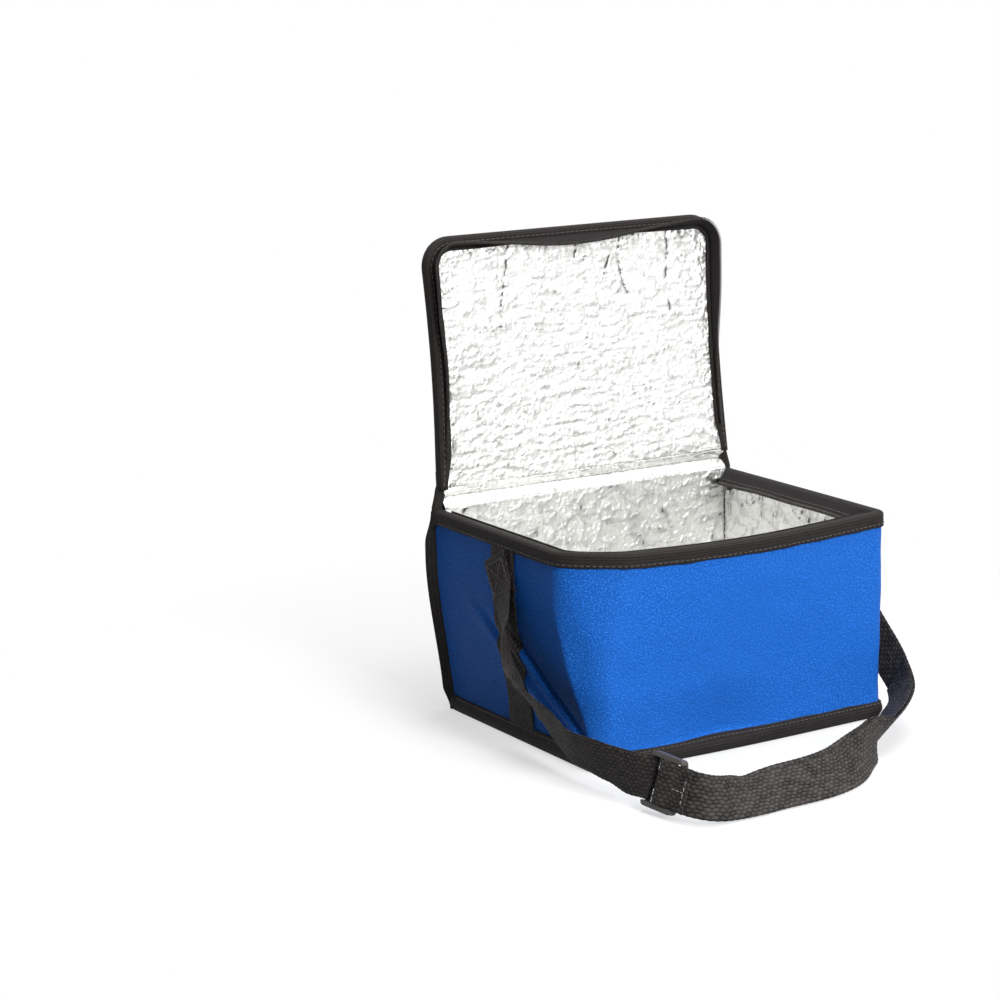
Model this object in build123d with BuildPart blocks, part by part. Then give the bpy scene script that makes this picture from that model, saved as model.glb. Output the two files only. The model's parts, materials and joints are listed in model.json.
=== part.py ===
"""Soft insulated carrier bag with a zipped lid, foil liner, back mesh pocket and webbing strap.

Millimetres, +Z up, the front faces -Y. The origin is the centre of the base's underside.
The lid is modelled open, the strap lying on the floor in front of the bag.
"""
from build123d import *
import math
import os

os.makedirs("parts", exist_ok=True)

# ---- driving dimensions -------------------------------------------------------------------
bag_width = 240.0            # outside of the cloth, left to right
bag_depth = 176.0            # outside of the cloth, front to back
rim_height = 140.0           # floor to the top of the bound rim
corner_radius = 18.0         # outside radius of the two front corners

cloth = 0.8                  # woven polyester cover
foam = 4.0                   # foam sheet
liner = 0.5                  # foil film on a thin backing
layer_gap = 0.15             # air between sewn layers
wall = cloth + foam + liner + 2 * layer_gap

tape = 1.2                   # folded grosgrain binding, each leg
rim_outer_leg = 12.0
rim_inner_leg = 8.0
base_edge_height = 11.0      # bound seam along the base
base_edge_depth = 2.6
base_edge_bevel = 0.8
corner_flange = 10.0         # bound seam standing out at each back corner
corner_flange_thickness = 3.0

back_fold_radius = 6.4       # cloth rolls from the base into the back

lid_width = 234.0
lid_length = 170.0           # from the hinge fold to the free edge
lid_corner_radius = 20.0
lid_lean = 5.6               # degrees past upright, lid open
lid_closed_clearance = 0.5   # lid binding above the rim at the hinge, lid closed
hinge_gap = 0.2              # each side of the fold line
lid_binding_start = 4.0      # from the fold line

zip_tape = 0.5
zip_tape_drop = 13.0         # body half, below the top of the rim
coil_height = 2.6            # one coil half, across the chain
coil_depth = 2.2             # one coil half, off the tape
coil_gap = 0.1
coil_round = 0.3             # end of the coil, where the slider comes to rest
zip_back_margin = 6.0        # the tape stops short of the back wall
lid_zip_start = 25.0         # from the fold line
lid_zip_low = 1.8            # height of the lid tape at its start
lid_zip_high = 10.0          # height of the lid tape at the free edge
lid_zip_inset = 2.5          # from the edge of the lid

slider_length = 12.0
slider_nose_width = 11.4
slider_tail_width = 10.0
slider_plate = 1.1
slider_clearance = 0.2
slider_lip = 0.8             # thickness of the turned-in edges
slider_wedge = 1.8           # width of the wedge between the coils
slider_park = 1.3            # from the end of the coil to the parked slider
stop_length = 3.0
stop_wall = 1.0              # crimped metal each side of the tape
pull_length = 25.0
pull_width = 6.4
pull_thickness = 1.2
pull_bar = 1.4               # the bar under the bridge
pull_eye = 7.2               # long enough to swing over the bridge
pull_rim = 1.0               # metal each side of the grip hole
bridge_width = 2.0
bridge_length = 8.6
bridge_leg = 1.4
bridge_thickness = 1.0

pocket_margin = 30.0         # cloth left clear at each side
pocket_height = 98.0
pocket_floor = 13.0          # lower edge above the ground
pocket_tape_width = 10.0
mesh = 0.6

webbing_width = 27.0
webbing = 1.3
strap_gap = 0.3              # between the strap and the patch it turns on
strap_axis_drop = 28.0       # turning point below the rim
strap_end = 14.0             # webbing past the pivot

loop_ahead = 115.0           # middle of the webbing, before the front face
loop_lean = 36.0             # degrees, how much more it lies over in front of the bag
loop_skew = 0.7              # below 1, it lies over soonest after the adjuster
run_lean = 17.0              # degrees, top edge towards the bag, at the adjuster
run_length = 98.0            # strap pulled straight through the adjuster
run_heading = 9.0            # degrees in from the front-to-back direction
run_fall = 3.5               # degrees, sloping down to the floor
run_side = 9.0               # start of the straight run, out from the bag's side
run_ahead = 7.0              # and ahead of the front face
run_height = 24.5

glide_length = 26.0          # along the webbing
glide_rail = 3.0
glide_corner = 2.8           # corner radius of the outline
glide_edge = 0.7             # rounding of the rails' outer edges
glide_outer_bar = 3.4
glide_centre_bar = 4.2
glide_back = 1.2             # thickness of the outer bars
glide_front = 1.4            # thickness of the centre bar
glide_gap = 0.2
glide_side_gap = 0.5
glide_station = 78.5         # centre bar along the straight run
glide_travel = 6.0           # towards the sewn end
tab_length = 22.0            # sewn end, from the centre bar
tab_underlap = 8.0           # the turned-under end of it
tab_gap = 0.5                # between the turned-under end and the second layer

# ---- places worked out from them ----------------------------------------------------------
half_width = bag_width / 2
back_y = bag_depth / 2
back_inner_y = back_y - wall
pocket_width = bag_width - 2 * pocket_margin
wall_end_y = back_inner_y - layer_gap
wall_floor = wall + layer_gap
wall_top = rim_height - tape - layer_gap
lid_binding_depth = wall + layer_gap + tape
hinge_z = rim_height + lid_binding_depth + lid_closed_clearance
patch_face = half_width + layer_gap + webbing
strap_axis_height = rim_height - strap_axis_drop
strap_plane_x = patch_face + strap_gap + webbing + webbing / 2

lid_plane = Plane(
    origin=(0, back_y, hinge_z),
    x_dir=(1, 0, 0),
    z_dir=(0, -math.cos(math.radians(lid_lean)), math.sin(math.radians(lid_lean))),
)


# ---- outlines shared by the layers --------------------------------------------------------
def plan(inset, back=wall_end_y, mode=Mode.ADD):
    """Plan of the bag: square at the back, the two front corners rounded about one centre."""
    side = half_width - inset
    front = -bag_depth / 2 + inset
    radius = corner_radius - inset
    with BuildLine(mode=Mode.PRIVATE) as outline:
        Line((-side, back), (-side, front + radius))
        RadiusArc((-side, front + radius), (-side + radius, front), -radius)
        Line((-side + radius, front), (side - radius, front))
        RadiusArc((side - radius, front), (side, front + radius), -radius)
        Line((side, front + radius), (side, back))
        Line((side, back), (-side, back))
    make_face(outline.edges(), mode=mode)


def band(outer, inner, back=wall_end_y):
    """U-shaped band left, front and right, between two insets from the cloth's outside."""
    plan(outer, back)
    plan(inner, back + wall, mode=Mode.SUBTRACT)


def lid_plan(inset, start, mode=Mode.ADD):
    """Plan of the lid: straight at the hinge, the two free corners rounded about one centre."""
    side = lid_width / 2 - inset
    end = lid_length - inset
    radius = lid_corner_radius - inset
    with BuildLine(mode=Mode.PRIVATE) as outline:
        Line((-side, start), (-side, end - radius))
        RadiusArc((-side, end - radius), (-side + radius, end), radius)
        Line((-side + radius, end), (side - radius, end))
        RadiusArc((side - radius, end), (side, end - radius), radius)
        Line((side, end - radius), (side, start))
        Line((side, start), (-side, start))
    make_face(outline.edges(), mode=mode)


def lid_band(outer, inner, start):
    """U-shaped band round the three free edges of the lid, between two insets."""
    lid_plan(outer, start)
    lid_plan(inner, start - wall, mode=Mode.SUBTRACT)


def save(built, label):
    """Label a finished piece and write its STEP file."""
    built.part.label = label
    export_step(built.part, f"parts/{label}.step")


# ---- the wall: cloth, foam and foil, each one strip round three sides ----------------------
with BuildPart() as wall_cover:
    with BuildSketch(Plane.XY.offset(wall_floor)):
        band(0, cloth)
    extrude(amount=wall_top - wall_floor)
save(wall_cover, "wall_cover")

foam_inset = cloth + layer_gap
with BuildPart() as wall_foam:
    with BuildSketch(Plane.XY.offset(wall_floor)):
        band(foam_inset, foam_inset + foam)
    extrude(amount=wall_top - wall_floor)
save(wall_foam, "wall_foam")

liner_inset = foam_inset + foam + layer_gap
with BuildPart() as wall_liner:
    with BuildSketch(Plane.XY.offset(wall_floor)):
        band(liner_inset, liner_inset + liner)
    extrude(amount=wall_top - wall_floor)
save(wall_liner, "wall_liner")

# ---- the back and base: one strip of cloth that rolls round the lower back edge ------------
# The cloth's top edge is bevelled to a line at the fold, so that the lid can turn on it.
fold_y = back_y - back_fold_radius
cloth_top = hinge_z - hinge_gap
with BuildPart() as back_base_cover:
    with BuildSketch(Plane.YZ):
        with BuildLine():
            RadiusArc((fold_y, 0), (back_y, back_fold_radius), -back_fold_radius)
            Line((back_y, back_fold_radius), (back_y, cloth_top))
            Line((back_y, cloth_top), (back_y - cloth, cloth_top - cloth))
            Line((back_y - cloth, cloth_top - cloth), (back_y - cloth, back_fold_radius))
            RadiusArc((back_y - cloth, back_fold_radius), (fold_y, cloth), back_fold_radius - cloth)
            Line((fold_y, cloth), (fold_y, 0))
        make_face()
    extrude(amount=half_width, both=True)
    with BuildSketch(Plane.XY):
        plan(0, fold_y)
    extrude(amount=cloth)
save(back_base_cover, "back_base_cover")

with BuildPart() as back_foam:
    with BuildSketch(Plane.XY.offset(wall_floor)):
        with Locations((0, back_y - foam_inset - foam / 2)):
            Rectangle(bag_width, foam)
    extrude(amount=wall_top - wall_floor)
save(back_foam, "back_foam")

with BuildPart() as base_foam:
    with BuildSketch(Plane.XY.offset(foam_inset)):
        plan(0)
    extrude(amount=foam)
save(base_foam, "base_foam")

with BuildPart() as back_base_liner:
    with BuildSketch(Plane.XY.offset(liner_inset)):
        plan(0, back_inner_y + liner)
    extrude(amount=liner)
    with BuildSketch(Plane.XY.offset(liner_inset)):
        with Locations((0, back_inner_y + liner / 2)):
            Rectangle(bag_width, liner)
    extrude(amount=wall_top - liner_inset)
save(back_base_liner, "back_base_liner")

# ---- bindings -----------------------------------------------------------------------------
binding_outer = -layer_gap - tape
binding_inner = wall + layer_gap + tape
with BuildPart() as rim_binding:
    with BuildSketch(Plane.XY.offset(rim_height - rim_outer_leg)):
        band(binding_outer, -layer_gap)
    extrude(amount=rim_outer_leg)
    with BuildSketch(Plane.XY.offset(rim_height - rim_inner_leg)):
        band(wall + layer_gap, binding_inner)
    extrude(amount=rim_inner_leg)
    with BuildSketch(Plane.XY.offset(rim_height - tape)):
        band(binding_outer, binding_inner)
    extrude(amount=tape)
save(rim_binding, "rim_binding")

with BuildPart() as base_binding:
    with BuildSketch(Plane.XY):
        band(-layer_gap - base_edge_depth, -layer_gap)
    extrude(amount=base_edge_height)
    upper = base_binding.edges().group_by(Axis.Z)[-1]
    chamfer(upper.sort_by(SortBy.LENGTH)[-3:], length=base_edge_bevel)
save(base_binding, "base_binding")

for side, name in ((-1, "left"), (1, "right")):
    root = Plane(
        origin=(side * (half_width + layer_gap), back_y + layer_gap, cloth),
        x_dir=(side, 1, 0),
        z_dir=(0, 0, 1),
    )
    with BuildPart() as corner_binding:
        with BuildSketch(root):
            with Locations((corner_flange / 2, 0)):
                SlotOverall(corner_flange, corner_flange_thickness)
        extrude(amount=wall_top - cloth)
    save(corner_binding, f"back_binding_{name}")

# ---- body half of the zip: tape sewn inside the rim, coil on its lower edge ----------------
zip_inset = binding_inner + layer_gap
zip_back = back_inner_y - zip_back_margin
zip_floor = rim_height - zip_tape_drop
with BuildPart() as zip_tape_body:
    with BuildSketch(Plane.XY.offset(zip_floor)):
        band(zip_inset, zip_inset + zip_tape, zip_back)
    extrude(amount=zip_tape_drop - layer_gap)
save(zip_tape_body, "zip_tape_body")

coil_inset = zip_inset + zip_tape + coil_gap
coil_back = zip_back - stop_length - coil_gap
coil_floor = zip_floor - coil_height / 3
with BuildPart() as zip_coil_body:
    with BuildSketch(Plane.XY.offset(coil_floor)):
        band(coil_inset, coil_inset + coil_depth, coil_back)
    extrude(amount=coil_height)
    top_edges = zip_coil_body.edges().group_by(Axis.Z)[-1].filter_by(GeomType.LINE)
    fillet(top_edges.group_by(Axis.Y)[-1], coil_round)
save(zip_coil_body, "zip_coil_body")

with BuildPart() as zip_stops:
    for side in (-1, 1):
        tape_x = side * (half_width - zip_inset - zip_tape / 2)
        with BuildSketch(Plane.XY.offset(coil_floor)):
            with Locations((tape_x, zip_back - stop_length / 2)):
                Rectangle(zip_tape + 2 * (coil_gap + stop_wall), stop_length)
        extrude(amount=coil_height + stop_wall)
        with BuildSketch(Plane.XY.offset(zip_floor - coil_gap)):
            with Locations((tape_x, zip_back - stop_length / 2)):
                Rectangle(zip_tape + 2 * coil_gap, stop_length)
        extrude(amount=coil_height + stop_wall, mode=Mode.SUBTRACT)
save(zip_stops, "zip_stops")

# ---- slider: two plates joined by a wedge, lips along the plates, a bridge for the pull ----
# It is drawn lying flat: local X points at the hinge end, local Z into the bag. The body coil
# runs in the upper half of its channel; the lower half is the lid coil's.
tape_face = half_width - zip_inset
tape_slot = zip_tape + 2 * slider_clearance
channel_depth = zip_tape + coil_gap + coil_depth + 2 * slider_clearance
slider_z = coil_floor - slider_wedge / 2 - slider_clearance
slider_y = coil_back - slider_park - slider_length / 2
slider_plane = Plane(
    origin=(-tape_face - slider_clearance, slider_y, slider_z),
    x_dir=(0, 1, 0),
    z_dir=(1, 0, 0),
)
slider_side = Plane(origin=slider_plane.origin, x_dir=(0, 1, 0), z_dir=(0, 0, -1))


def slider_outline(shrink=0.0, mode=Mode.ADD):
    """Shield outline of a slider plate: broad round nose, narrower square tail."""
    nose = slider_nose_width / 2 - shrink
    tail = slider_tail_width / 2 - shrink
    end = slider_length / 2 - shrink
    with BuildLine(mode=Mode.PRIVATE) as outline:
        Line((-end, -tail), (end / 3, -nose))
        ThreePointArc((end / 3, -nose), (end, 0), (end / 3, nose))
        Line((end / 3, nose), (-end, tail))
        Line((-end, tail), (-end, -tail))
    make_face(outline.edges(), mode=mode)


bridge_floor = channel_depth + slider_plate
bridge_opening = pull_bar + 2 * slider_clearance
bridge_height = bridge_opening + bridge_thickness
with BuildPart() as zip_slider:
    with BuildSketch(slider_plane.offset(-slider_plate)):
        slider_outline()
    extrude(amount=slider_plate)
    with BuildSketch(slider_plane.offset(channel_depth)):
        slider_outline()
    extrude(amount=slider_plate)
    with BuildSketch(slider_plane):
        wedge_end = slider_length / 2 - slider_lip
        with BuildLine():
            Polyline(
                (wedge_end / 4, 0),
                (wedge_end / 2, slider_wedge / 2),
                (wedge_end, slider_wedge / 3),
                (wedge_end, -slider_wedge / 3),
                (wedge_end / 2, -slider_wedge / 2),
                (wedge_end / 4, 0),
            )
        make_face()
    extrude(amount=channel_depth)
    with BuildSketch(slider_plane.offset(tape_slot)):
        slider_outline()
        slider_outline(shrink=slider_lip, mode=Mode.SUBTRACT)
        with Locations((slider_length / 2, 0)):
            Rectangle(slider_length * 2 / 3, 2 * slider_nose_width, mode=Mode.SUBTRACT)
        with Locations((-slider_length / 2, 0)):
            Rectangle(slider_length / 4, 2 * slider_nose_width, mode=Mode.SUBTRACT)
    extrude(amount=channel_depth - tape_slot)
    with BuildSketch(slider_side):
        with Locations((0, bridge_floor + bridge_height / 2)):
            arch = Rectangle(bridge_length, bridge_height)
        fillet(arch.vertices().group_by(Axis.Y)[-1], bridge_leg)
        with Locations((0, bridge_floor + bridge_opening / 2)):
            Rectangle(bridge_length - 2 * bridge_leg, bridge_opening, mode=Mode.SUBTRACT)
    extrude(amount=bridge_width / 2, both=True)
save(zip_slider, "zip_slider")

# ---- pull: a plate with an eye, its end bar held under the bridge --------------------------
bar_x = -bridge_length / 2 + bridge_leg + slider_clearance + pull_bar / 2
bar_z = bridge_floor + slider_clearance + pull_bar / 2
eye_width = bridge_width + 4 * slider_clearance
grip_hole = pull_width / 2 - pull_rim
with BuildPart() as zip_pull:
    with BuildSketch(slider_plane.offset(bar_z - pull_thickness / 2)):
        with Locations((bar_x - pull_length / 2, 0)):
            RectangleRounded(pull_length, pull_width, pull_width / 3)
        with Locations((bar_x - pull_bar / 2 - pull_eye / 2, 0)):
            RectangleRounded(pull_eye, eye_width, eye_width / 4, mode=Mode.SUBTRACT)
        with Locations((bar_x - pull_length + 2 * grip_hole, 0)):
            SlotOverall(3 * grip_hole, grip_hole, mode=Mode.SUBTRACT)
    extrude(amount=pull_thickness)
    with BuildSketch(slider_side):
        with Locations((bar_x, bar_z)):
            Circle(pull_bar / 2)
    extrude(amount=eye_width / 2 + slider_clearance, both=True)
save(zip_pull, "zip_pull")

# ---- mesh pocket on the back ---------------------------------------------------------------
pocket_plane = Plane(origin=(0, back_y + layer_gap, 0), x_dir=(-1, 0, 0), z_dir=(0, 1, 0))
mesh_width = pocket_width - 2 * (pocket_tape_width + layer_gap)
mesh_floor = pocket_floor + pocket_tape_width + layer_gap
pocket_top = pocket_floor + pocket_height
with BuildPart() as mesh_pocket:
    with BuildSketch(pocket_plane):
        with Locations((0, (mesh_floor + pocket_top) / 2)):
            Rectangle(mesh_width, pocket_top - mesh_floor)
    extrude(amount=mesh)
save(mesh_pocket, "mesh_pocket")

for side, name in ((-1, "right"), (1, "left")):
    with BuildPart() as side_tape:
        with BuildSketch(pocket_plane):
            with Locations((side * (pocket_width - pocket_tape_width) / 2, pocket_floor + pocket_height / 2)):
                Rectangle(pocket_tape_width, pocket_height)
        extrude(amount=tape)
    save(side_tape, f"pocket_tape_{name}")

with BuildPart() as pocket_tape_bottom:
    with BuildSketch(pocket_plane):
        with Locations((0, pocket_floor + pocket_tape_width / 2)):
            Rectangle(mesh_width, pocket_tape_width)
    extrude(amount=tape)
save(pocket_tape_bottom, "pocket_tape_bottom")

# ---- webbing patches up the middle of each side --------------------------------------------
patch_floor = base_edge_height + layer_gap
patch_top = rim_height - rim_outer_leg - layer_gap
for side, name in ((-1, "left"), (1, "right")):
    with BuildPart() as strap_patch:
        with BuildSketch(Plane.XY.offset(patch_floor)):
            with Locations((side * (half_width + layer_gap + webbing / 2), 0)):
                Rectangle(webbing, webbing_width)
        extrude(amount=patch_top - patch_floor)
    save(strap_patch, f"strap_patch_{name}")

# ---- lid -----------------------------------------------------------------------------------
with BuildPart() as lid_cover:
    with BuildSketch(lid_plane):
        lid_plan(0, hinge_gap)
    extrude(amount=cloth)
    hinge_edges = lid_cover.edges().filter_by(Axis.X).sort_by(Axis.Z)[:2]
    chamfer(hinge_edges.sort_by(Axis.Y)[0], length=cloth - 0.01)
save(lid_cover, "lid_cover")

layer_start = hinge_gap + cloth
with BuildPart() as lid_foam:
    with BuildSketch(lid_plane.offset(foam_inset)):
        lid_plan(0, layer_start)
    extrude(amount=foam)
save(lid_foam, "lid_foam")

with BuildPart() as lid_liner:
    with BuildSketch(lid_plane.offset(liner_inset)):
        lid_plan(0, layer_start)
    extrude(amount=liner)
save(lid_liner, "lid_liner")

with BuildPart() as lid_binding:
    with BuildSketch(lid_plane.offset(binding_outer)):
        lid_band(binding_outer, -layer_gap, lid_binding_start)
    extrude(amount=lid_binding_depth - binding_outer)
    with BuildSketch(lid_plane.offset(binding_outer)):
        lid_band(binding_outer, rim_outer_leg, lid_binding_start)
    extrude(amount=tape)
    with BuildSketch(lid_plane.offset(wall + layer_gap)):
        lid_band(binding_outer, rim_inner_leg, lid_binding_start)
    extrude(amount=tape)
save(lid_binding, "lid_binding")

# ---- lid half of the zip: it stands off the binding, low at the hinge and high in front -----
lid_zip_floor = lid_binding_depth + layer_gap
lid_zip_run = lid_length - lid_zip_inset - lid_zip_start
lid_zip_slope = math.degrees(math.atan2(lid_zip_high - lid_zip_low, lid_zip_run))
zip_slope = Plane(
    lid_plane.location
    * Location((0, lid_zip_start, lid_binding_depth + lid_zip_low), (lid_zip_slope, 0, 0))
)
with BuildPart() as zip_tape_lid:
    with BuildSketch(lid_plane.offset(lid_zip_floor)):
        lid_band(lid_zip_inset, lid_zip_inset + zip_tape, lid_zip_start)
    extrude(amount=lid_zip_high)
    split(bisect_by=zip_slope.offset(-coil_height / 3), keep=Keep.BOTTOM)
save(zip_tape_lid, "zip_tape_lid")

lid_coil_inset = lid_zip_inset + zip_tape + coil_gap
with BuildPart() as zip_coil_lid:
    with BuildSketch(lid_plane.offset(lid_zip_floor)):
        lid_band(lid_coil_inset, lid_coil_inset + coil_depth, lid_zip_start)
    extrude(amount=lid_zip_high)
    split(bisect_by=zip_slope, keep=Keep.BOTTOM)
    split(bisect_by=zip_slope.offset(-coil_height), keep=Keep.TOP)
save(zip_coil_lid, "zip_coil_lid")

# ---- strap: webbing on edge in a loop before the bag, its ends flat on the patches ----------
# Its route is given by shares of the bag's half width, of the reach of the loop from the middle
# of the bag, and of the height of the pivots.
layer_pitch = webbing + glide_gap
loop_reach = bag_depth / 2 + loop_ahead
left_pivot = Vector(-strap_plane_x - layer_pitch, 0, strap_axis_height)
right_pivot = Vector(strap_plane_x, 0, strap_axis_height)
left_down = Vector(0, -0.45, -0.89).normalized()
right_up = Vector(0, 0.68, 0.73).normalized()
run_start = Vector(-half_width - run_side, -bag_depth / 2 - run_ahead, run_height)
run_direction = Vector(0, -1, 0).rotate(Axis.X, run_fall).rotate(Axis.Z, run_heading)
run_end = run_start + run_direction * run_length


def on_route(across, ahead, height):
    """A point of the strap's middle line from its three shares."""
    return Vector(across * half_width, -ahead * loop_reach, height * strap_axis_height)


with BuildLine() as left_drop:
    Line(left_pivot - left_down * strap_end, left_pivot)
with BuildLine() as left_fall:
    Spline(
        left_pivot,
        on_route(-1.045, 0.143, 0.536),
        on_route(-1.06, 0.315, 0.304),
        run_start,
        tangents=(left_down, run_direction),
        tangent_scalars=(1, 1),
    )
with BuildLine() as straight:
    Line(run_start, run_end)
with BuildLine() as front_loop:
    Spline(
        run_end,
        on_route(-0.904, 0.989, 0.155),
        on_route(-0.824, 1.006, 0.143),
        on_route(-0.717, 0.998, 0.129),
        on_route(-0.458, 0.975, 0.116),
        on_route(-0.108, 0.966, 0.108),
        on_route(0.133, 0.916, 0.108),
        on_route(0.35, 0.842, 0.118),
        on_route(0.6, 0.724, 0.134),
        on_route(0.842, 0.621, 0.161),
        on_route(1.025, 0.502, 0.228),
        on_route(1.083, 0.35, 0.402),
        on_route(1.058, 0.187, 0.679),
        right_pivot,
        tangents=(run_direction, right_up),
        tangent_scalars=(1, 1),
    )
with BuildLine() as right_rise:
    Line(right_pivot, right_pivot + right_up * strap_end)


def facing(tangent, lean):
    """Direction the outer face looks: level and away from the bag, turned up by the lean."""
    level = Vector(tangent.Y, -tangent.X, 0).normalized()
    upward = level.cross(tangent)
    turned = math.radians(lean)
    return level * math.cos(turned) + upward * math.sin(turned)


def upright(along):
    """The drop to the left pivot and the rise from the right one lie flat on the bag's sides."""
    return 0.0


def falling(along):
    """The webbing takes up its lean on the way down."""
    return run_lean * along


def running(along):
    """Through the adjuster the lean is even."""
    return run_lean


def looping(along):
    """The lean is greatest in front of the bag and gone at the right pivot."""
    return run_lean * (1 - along) + loop_lean * math.sin(math.pi * along**loop_skew) ** 2


def webbing_planes(run, lean, start, end, count, shift):
    """Planes square to a run of the strap, `shift` outside its line, local X through its face."""
    edge = run.edges()[0]
    planes = []
    for step in range(count + 1):
        along = start + (end - start) * step / count
        tangent = edge.tangent_at(along)
        outward = facing(tangent, lean(along))
        planes.append(Plane(origin=edge.position_at(along) + outward * shift, x_dir=outward, z_dir=tangent))
    return planes


loop_steps = 45
tail_steps = 31              # the free tail lies along the loop this far
main_runs = (
    (left_drop, upright, 0, 1, 1),
    (left_fall, falling, 0, 1, 8),
    (straight, running, 0, 1, 1),
    (front_loop, looping, 0, tail_steps / loop_steps, tail_steps),
)
with BuildPart() as strap_main:
    for run, lean, start, end, count in main_runs:
        for plane in webbing_planes(run, lean, start, end, count, -layer_pitch):
            with BuildSketch(plane):
                Rectangle(webbing, webbing_width)
        loft(ruled=True)
    with BuildSketch(Plane(origin=left_pivot + Vector(layer_pitch, 0, 0), x_dir=left_down, z_dir=(1, 0, 0))):
        Rectangle(2 * strap_end, webbing_width)
    extrude(amount=webbing * 1.5)
save(strap_main, "strap_main")

return_start = (glide_station + tab_underlap + glide_travel + tab_gap) / run_length
return_runs = (
    (straight, running, return_start, 1, 1),
    (front_loop, looping, 0, 1, loop_steps),
    (right_rise, upright, 0, 1, 1),
)
with BuildPart() as strap_return:
    for run, lean, start, end, count in return_runs:
        for plane in webbing_planes(run, lean, start, end, count, 0):
            with BuildSketch(plane):
                Rectangle(webbing, webbing_width)
        loft(ruled=True)
    with BuildSketch(Plane(origin=right_pivot, x_dir=right_up, z_dir=(-1, 0, 0))):
        Rectangle(2 * strap_end, webbing_width)
    extrude(amount=webbing * 1.5)
save(strap_return, "strap_return")

# ---- tri-glide: two deep rails, a centre bar in front, an outer bar behind at each end ------
glide_origin = run_start + run_direction * glide_station
glide_plane = Plane(origin=glide_origin, x_dir=run_direction, z_dir=facing(run_direction, run_lean))
centre_bar_floor = webbing / 2 + layer_gap
back_bar_top = -layer_pitch - webbing / 2 - glide_gap
rail_floor = back_bar_top - glide_back
rail_depth = centre_bar_floor + glide_front - rail_floor
window = webbing_width + 2 * glide_side_gap
glide_height = window + 2 * glide_rail
with BuildPart() as tri_glide:
    with BuildSketch(glide_plane.offset(rail_floor)):
        RectangleRounded(glide_length, glide_height, glide_corner)
        Rectangle(2 * glide_length, window, mode=Mode.SUBTRACT)
    extrude(amount=rail_depth)
    across = tri_glide.edges().group_by(Axis(glide_origin, glide_plane.y_dir))
    fillet(across[0] + across[-1], glide_edge)
    with BuildSketch(glide_plane.offset(rail_floor)):
        with GridLocations(glide_length - glide_outer_bar, 0, 2, 1):
            Rectangle(glide_outer_bar, window)
    extrude(amount=glide_back)
    with BuildSketch(glide_plane.offset(centre_bar_floor)):
        Rectangle(glide_centre_bar, window)
    extrude(amount=glide_front)
save(tri_glide, "tri_glide")

wrap_radius = (glide_front + 2 * layer_gap + webbing) / 2
with BuildPart() as strap_end_tab:
    with BuildSketch(Plane(origin=glide_origin, x_dir=run_direction, z_dir=-glide_plane.y_dir)):
        half_bar = glide_centre_bar / 2
        with BuildLine():
            Line((tab_underlap, 0), (-half_bar, 0))
            ThreePointArc(
                (-half_bar, 0), (-half_bar - wrap_radius, wrap_radius), (-half_bar, 2 * wrap_radius)
            )
            Line((-half_bar, 2 * wrap_radius), (half_bar, 2 * wrap_radius))
            Line((half_bar, 2 * wrap_radius), (tab_underlap + half_bar, layer_pitch))
            Line((tab_underlap + half_bar, layer_pitch), (tab_length, layer_pitch))
        trace(line_width=webbing)
    extrude(amount=webbing_width / 2, both=True)
save(strap_end_tab, "strap_end_tab")
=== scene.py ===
# %% [markdown]
# # A soft insulated carrier bag with a foil lining
# The bag is sewn from sheets: woven polyester outside, foam in the middle, silver film inside.
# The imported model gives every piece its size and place. Here each soft piece gets its real
# surface: a function of two parameters, worked out for a whole grid of points at once.

import json
import math

import bpy
import numpy as np
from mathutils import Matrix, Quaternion, Vector


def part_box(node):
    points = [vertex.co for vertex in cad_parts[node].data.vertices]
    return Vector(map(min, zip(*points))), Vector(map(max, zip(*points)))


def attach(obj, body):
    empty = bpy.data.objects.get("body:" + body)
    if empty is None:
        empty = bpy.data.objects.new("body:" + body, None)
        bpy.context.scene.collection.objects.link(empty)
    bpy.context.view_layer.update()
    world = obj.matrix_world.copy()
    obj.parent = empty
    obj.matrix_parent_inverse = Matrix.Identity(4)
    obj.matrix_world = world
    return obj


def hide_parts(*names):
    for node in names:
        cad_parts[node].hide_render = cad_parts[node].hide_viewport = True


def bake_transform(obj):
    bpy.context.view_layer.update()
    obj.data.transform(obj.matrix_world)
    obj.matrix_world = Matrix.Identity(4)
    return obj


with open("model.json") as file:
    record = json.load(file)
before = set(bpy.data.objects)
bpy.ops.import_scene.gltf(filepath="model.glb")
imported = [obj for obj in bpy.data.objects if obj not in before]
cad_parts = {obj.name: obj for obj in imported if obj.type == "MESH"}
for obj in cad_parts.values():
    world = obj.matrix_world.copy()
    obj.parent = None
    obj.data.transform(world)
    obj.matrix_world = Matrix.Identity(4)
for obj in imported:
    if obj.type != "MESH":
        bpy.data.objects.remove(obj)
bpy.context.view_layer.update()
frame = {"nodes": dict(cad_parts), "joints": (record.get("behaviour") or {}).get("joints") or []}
MM = 0.001

# %% [markdown]
# ## Camera, floor and light
# A long lens keeps the bag's verticals nearly parallel. The floor and the world are white, so
# the dark bindings stand out. A soft lamp in front lights the front face more than the sides,
# and one above lights the lining. The floor is white to the camera but still takes a shadow.

# %% Camera
CAMERA_AZIMUTH = math.radians(-31.5)
CAMERA_ELEVATION = math.radians(12.3)
CAMERA_ROLL = math.radians(-0.9)
CAMERA_DISTANCE = 1.776
CAMERA_TARGET = Vector((-0.122, 0.0, 0.162))
LENS = 100.8                 # mm, on a sensor 36 mm wide

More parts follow.
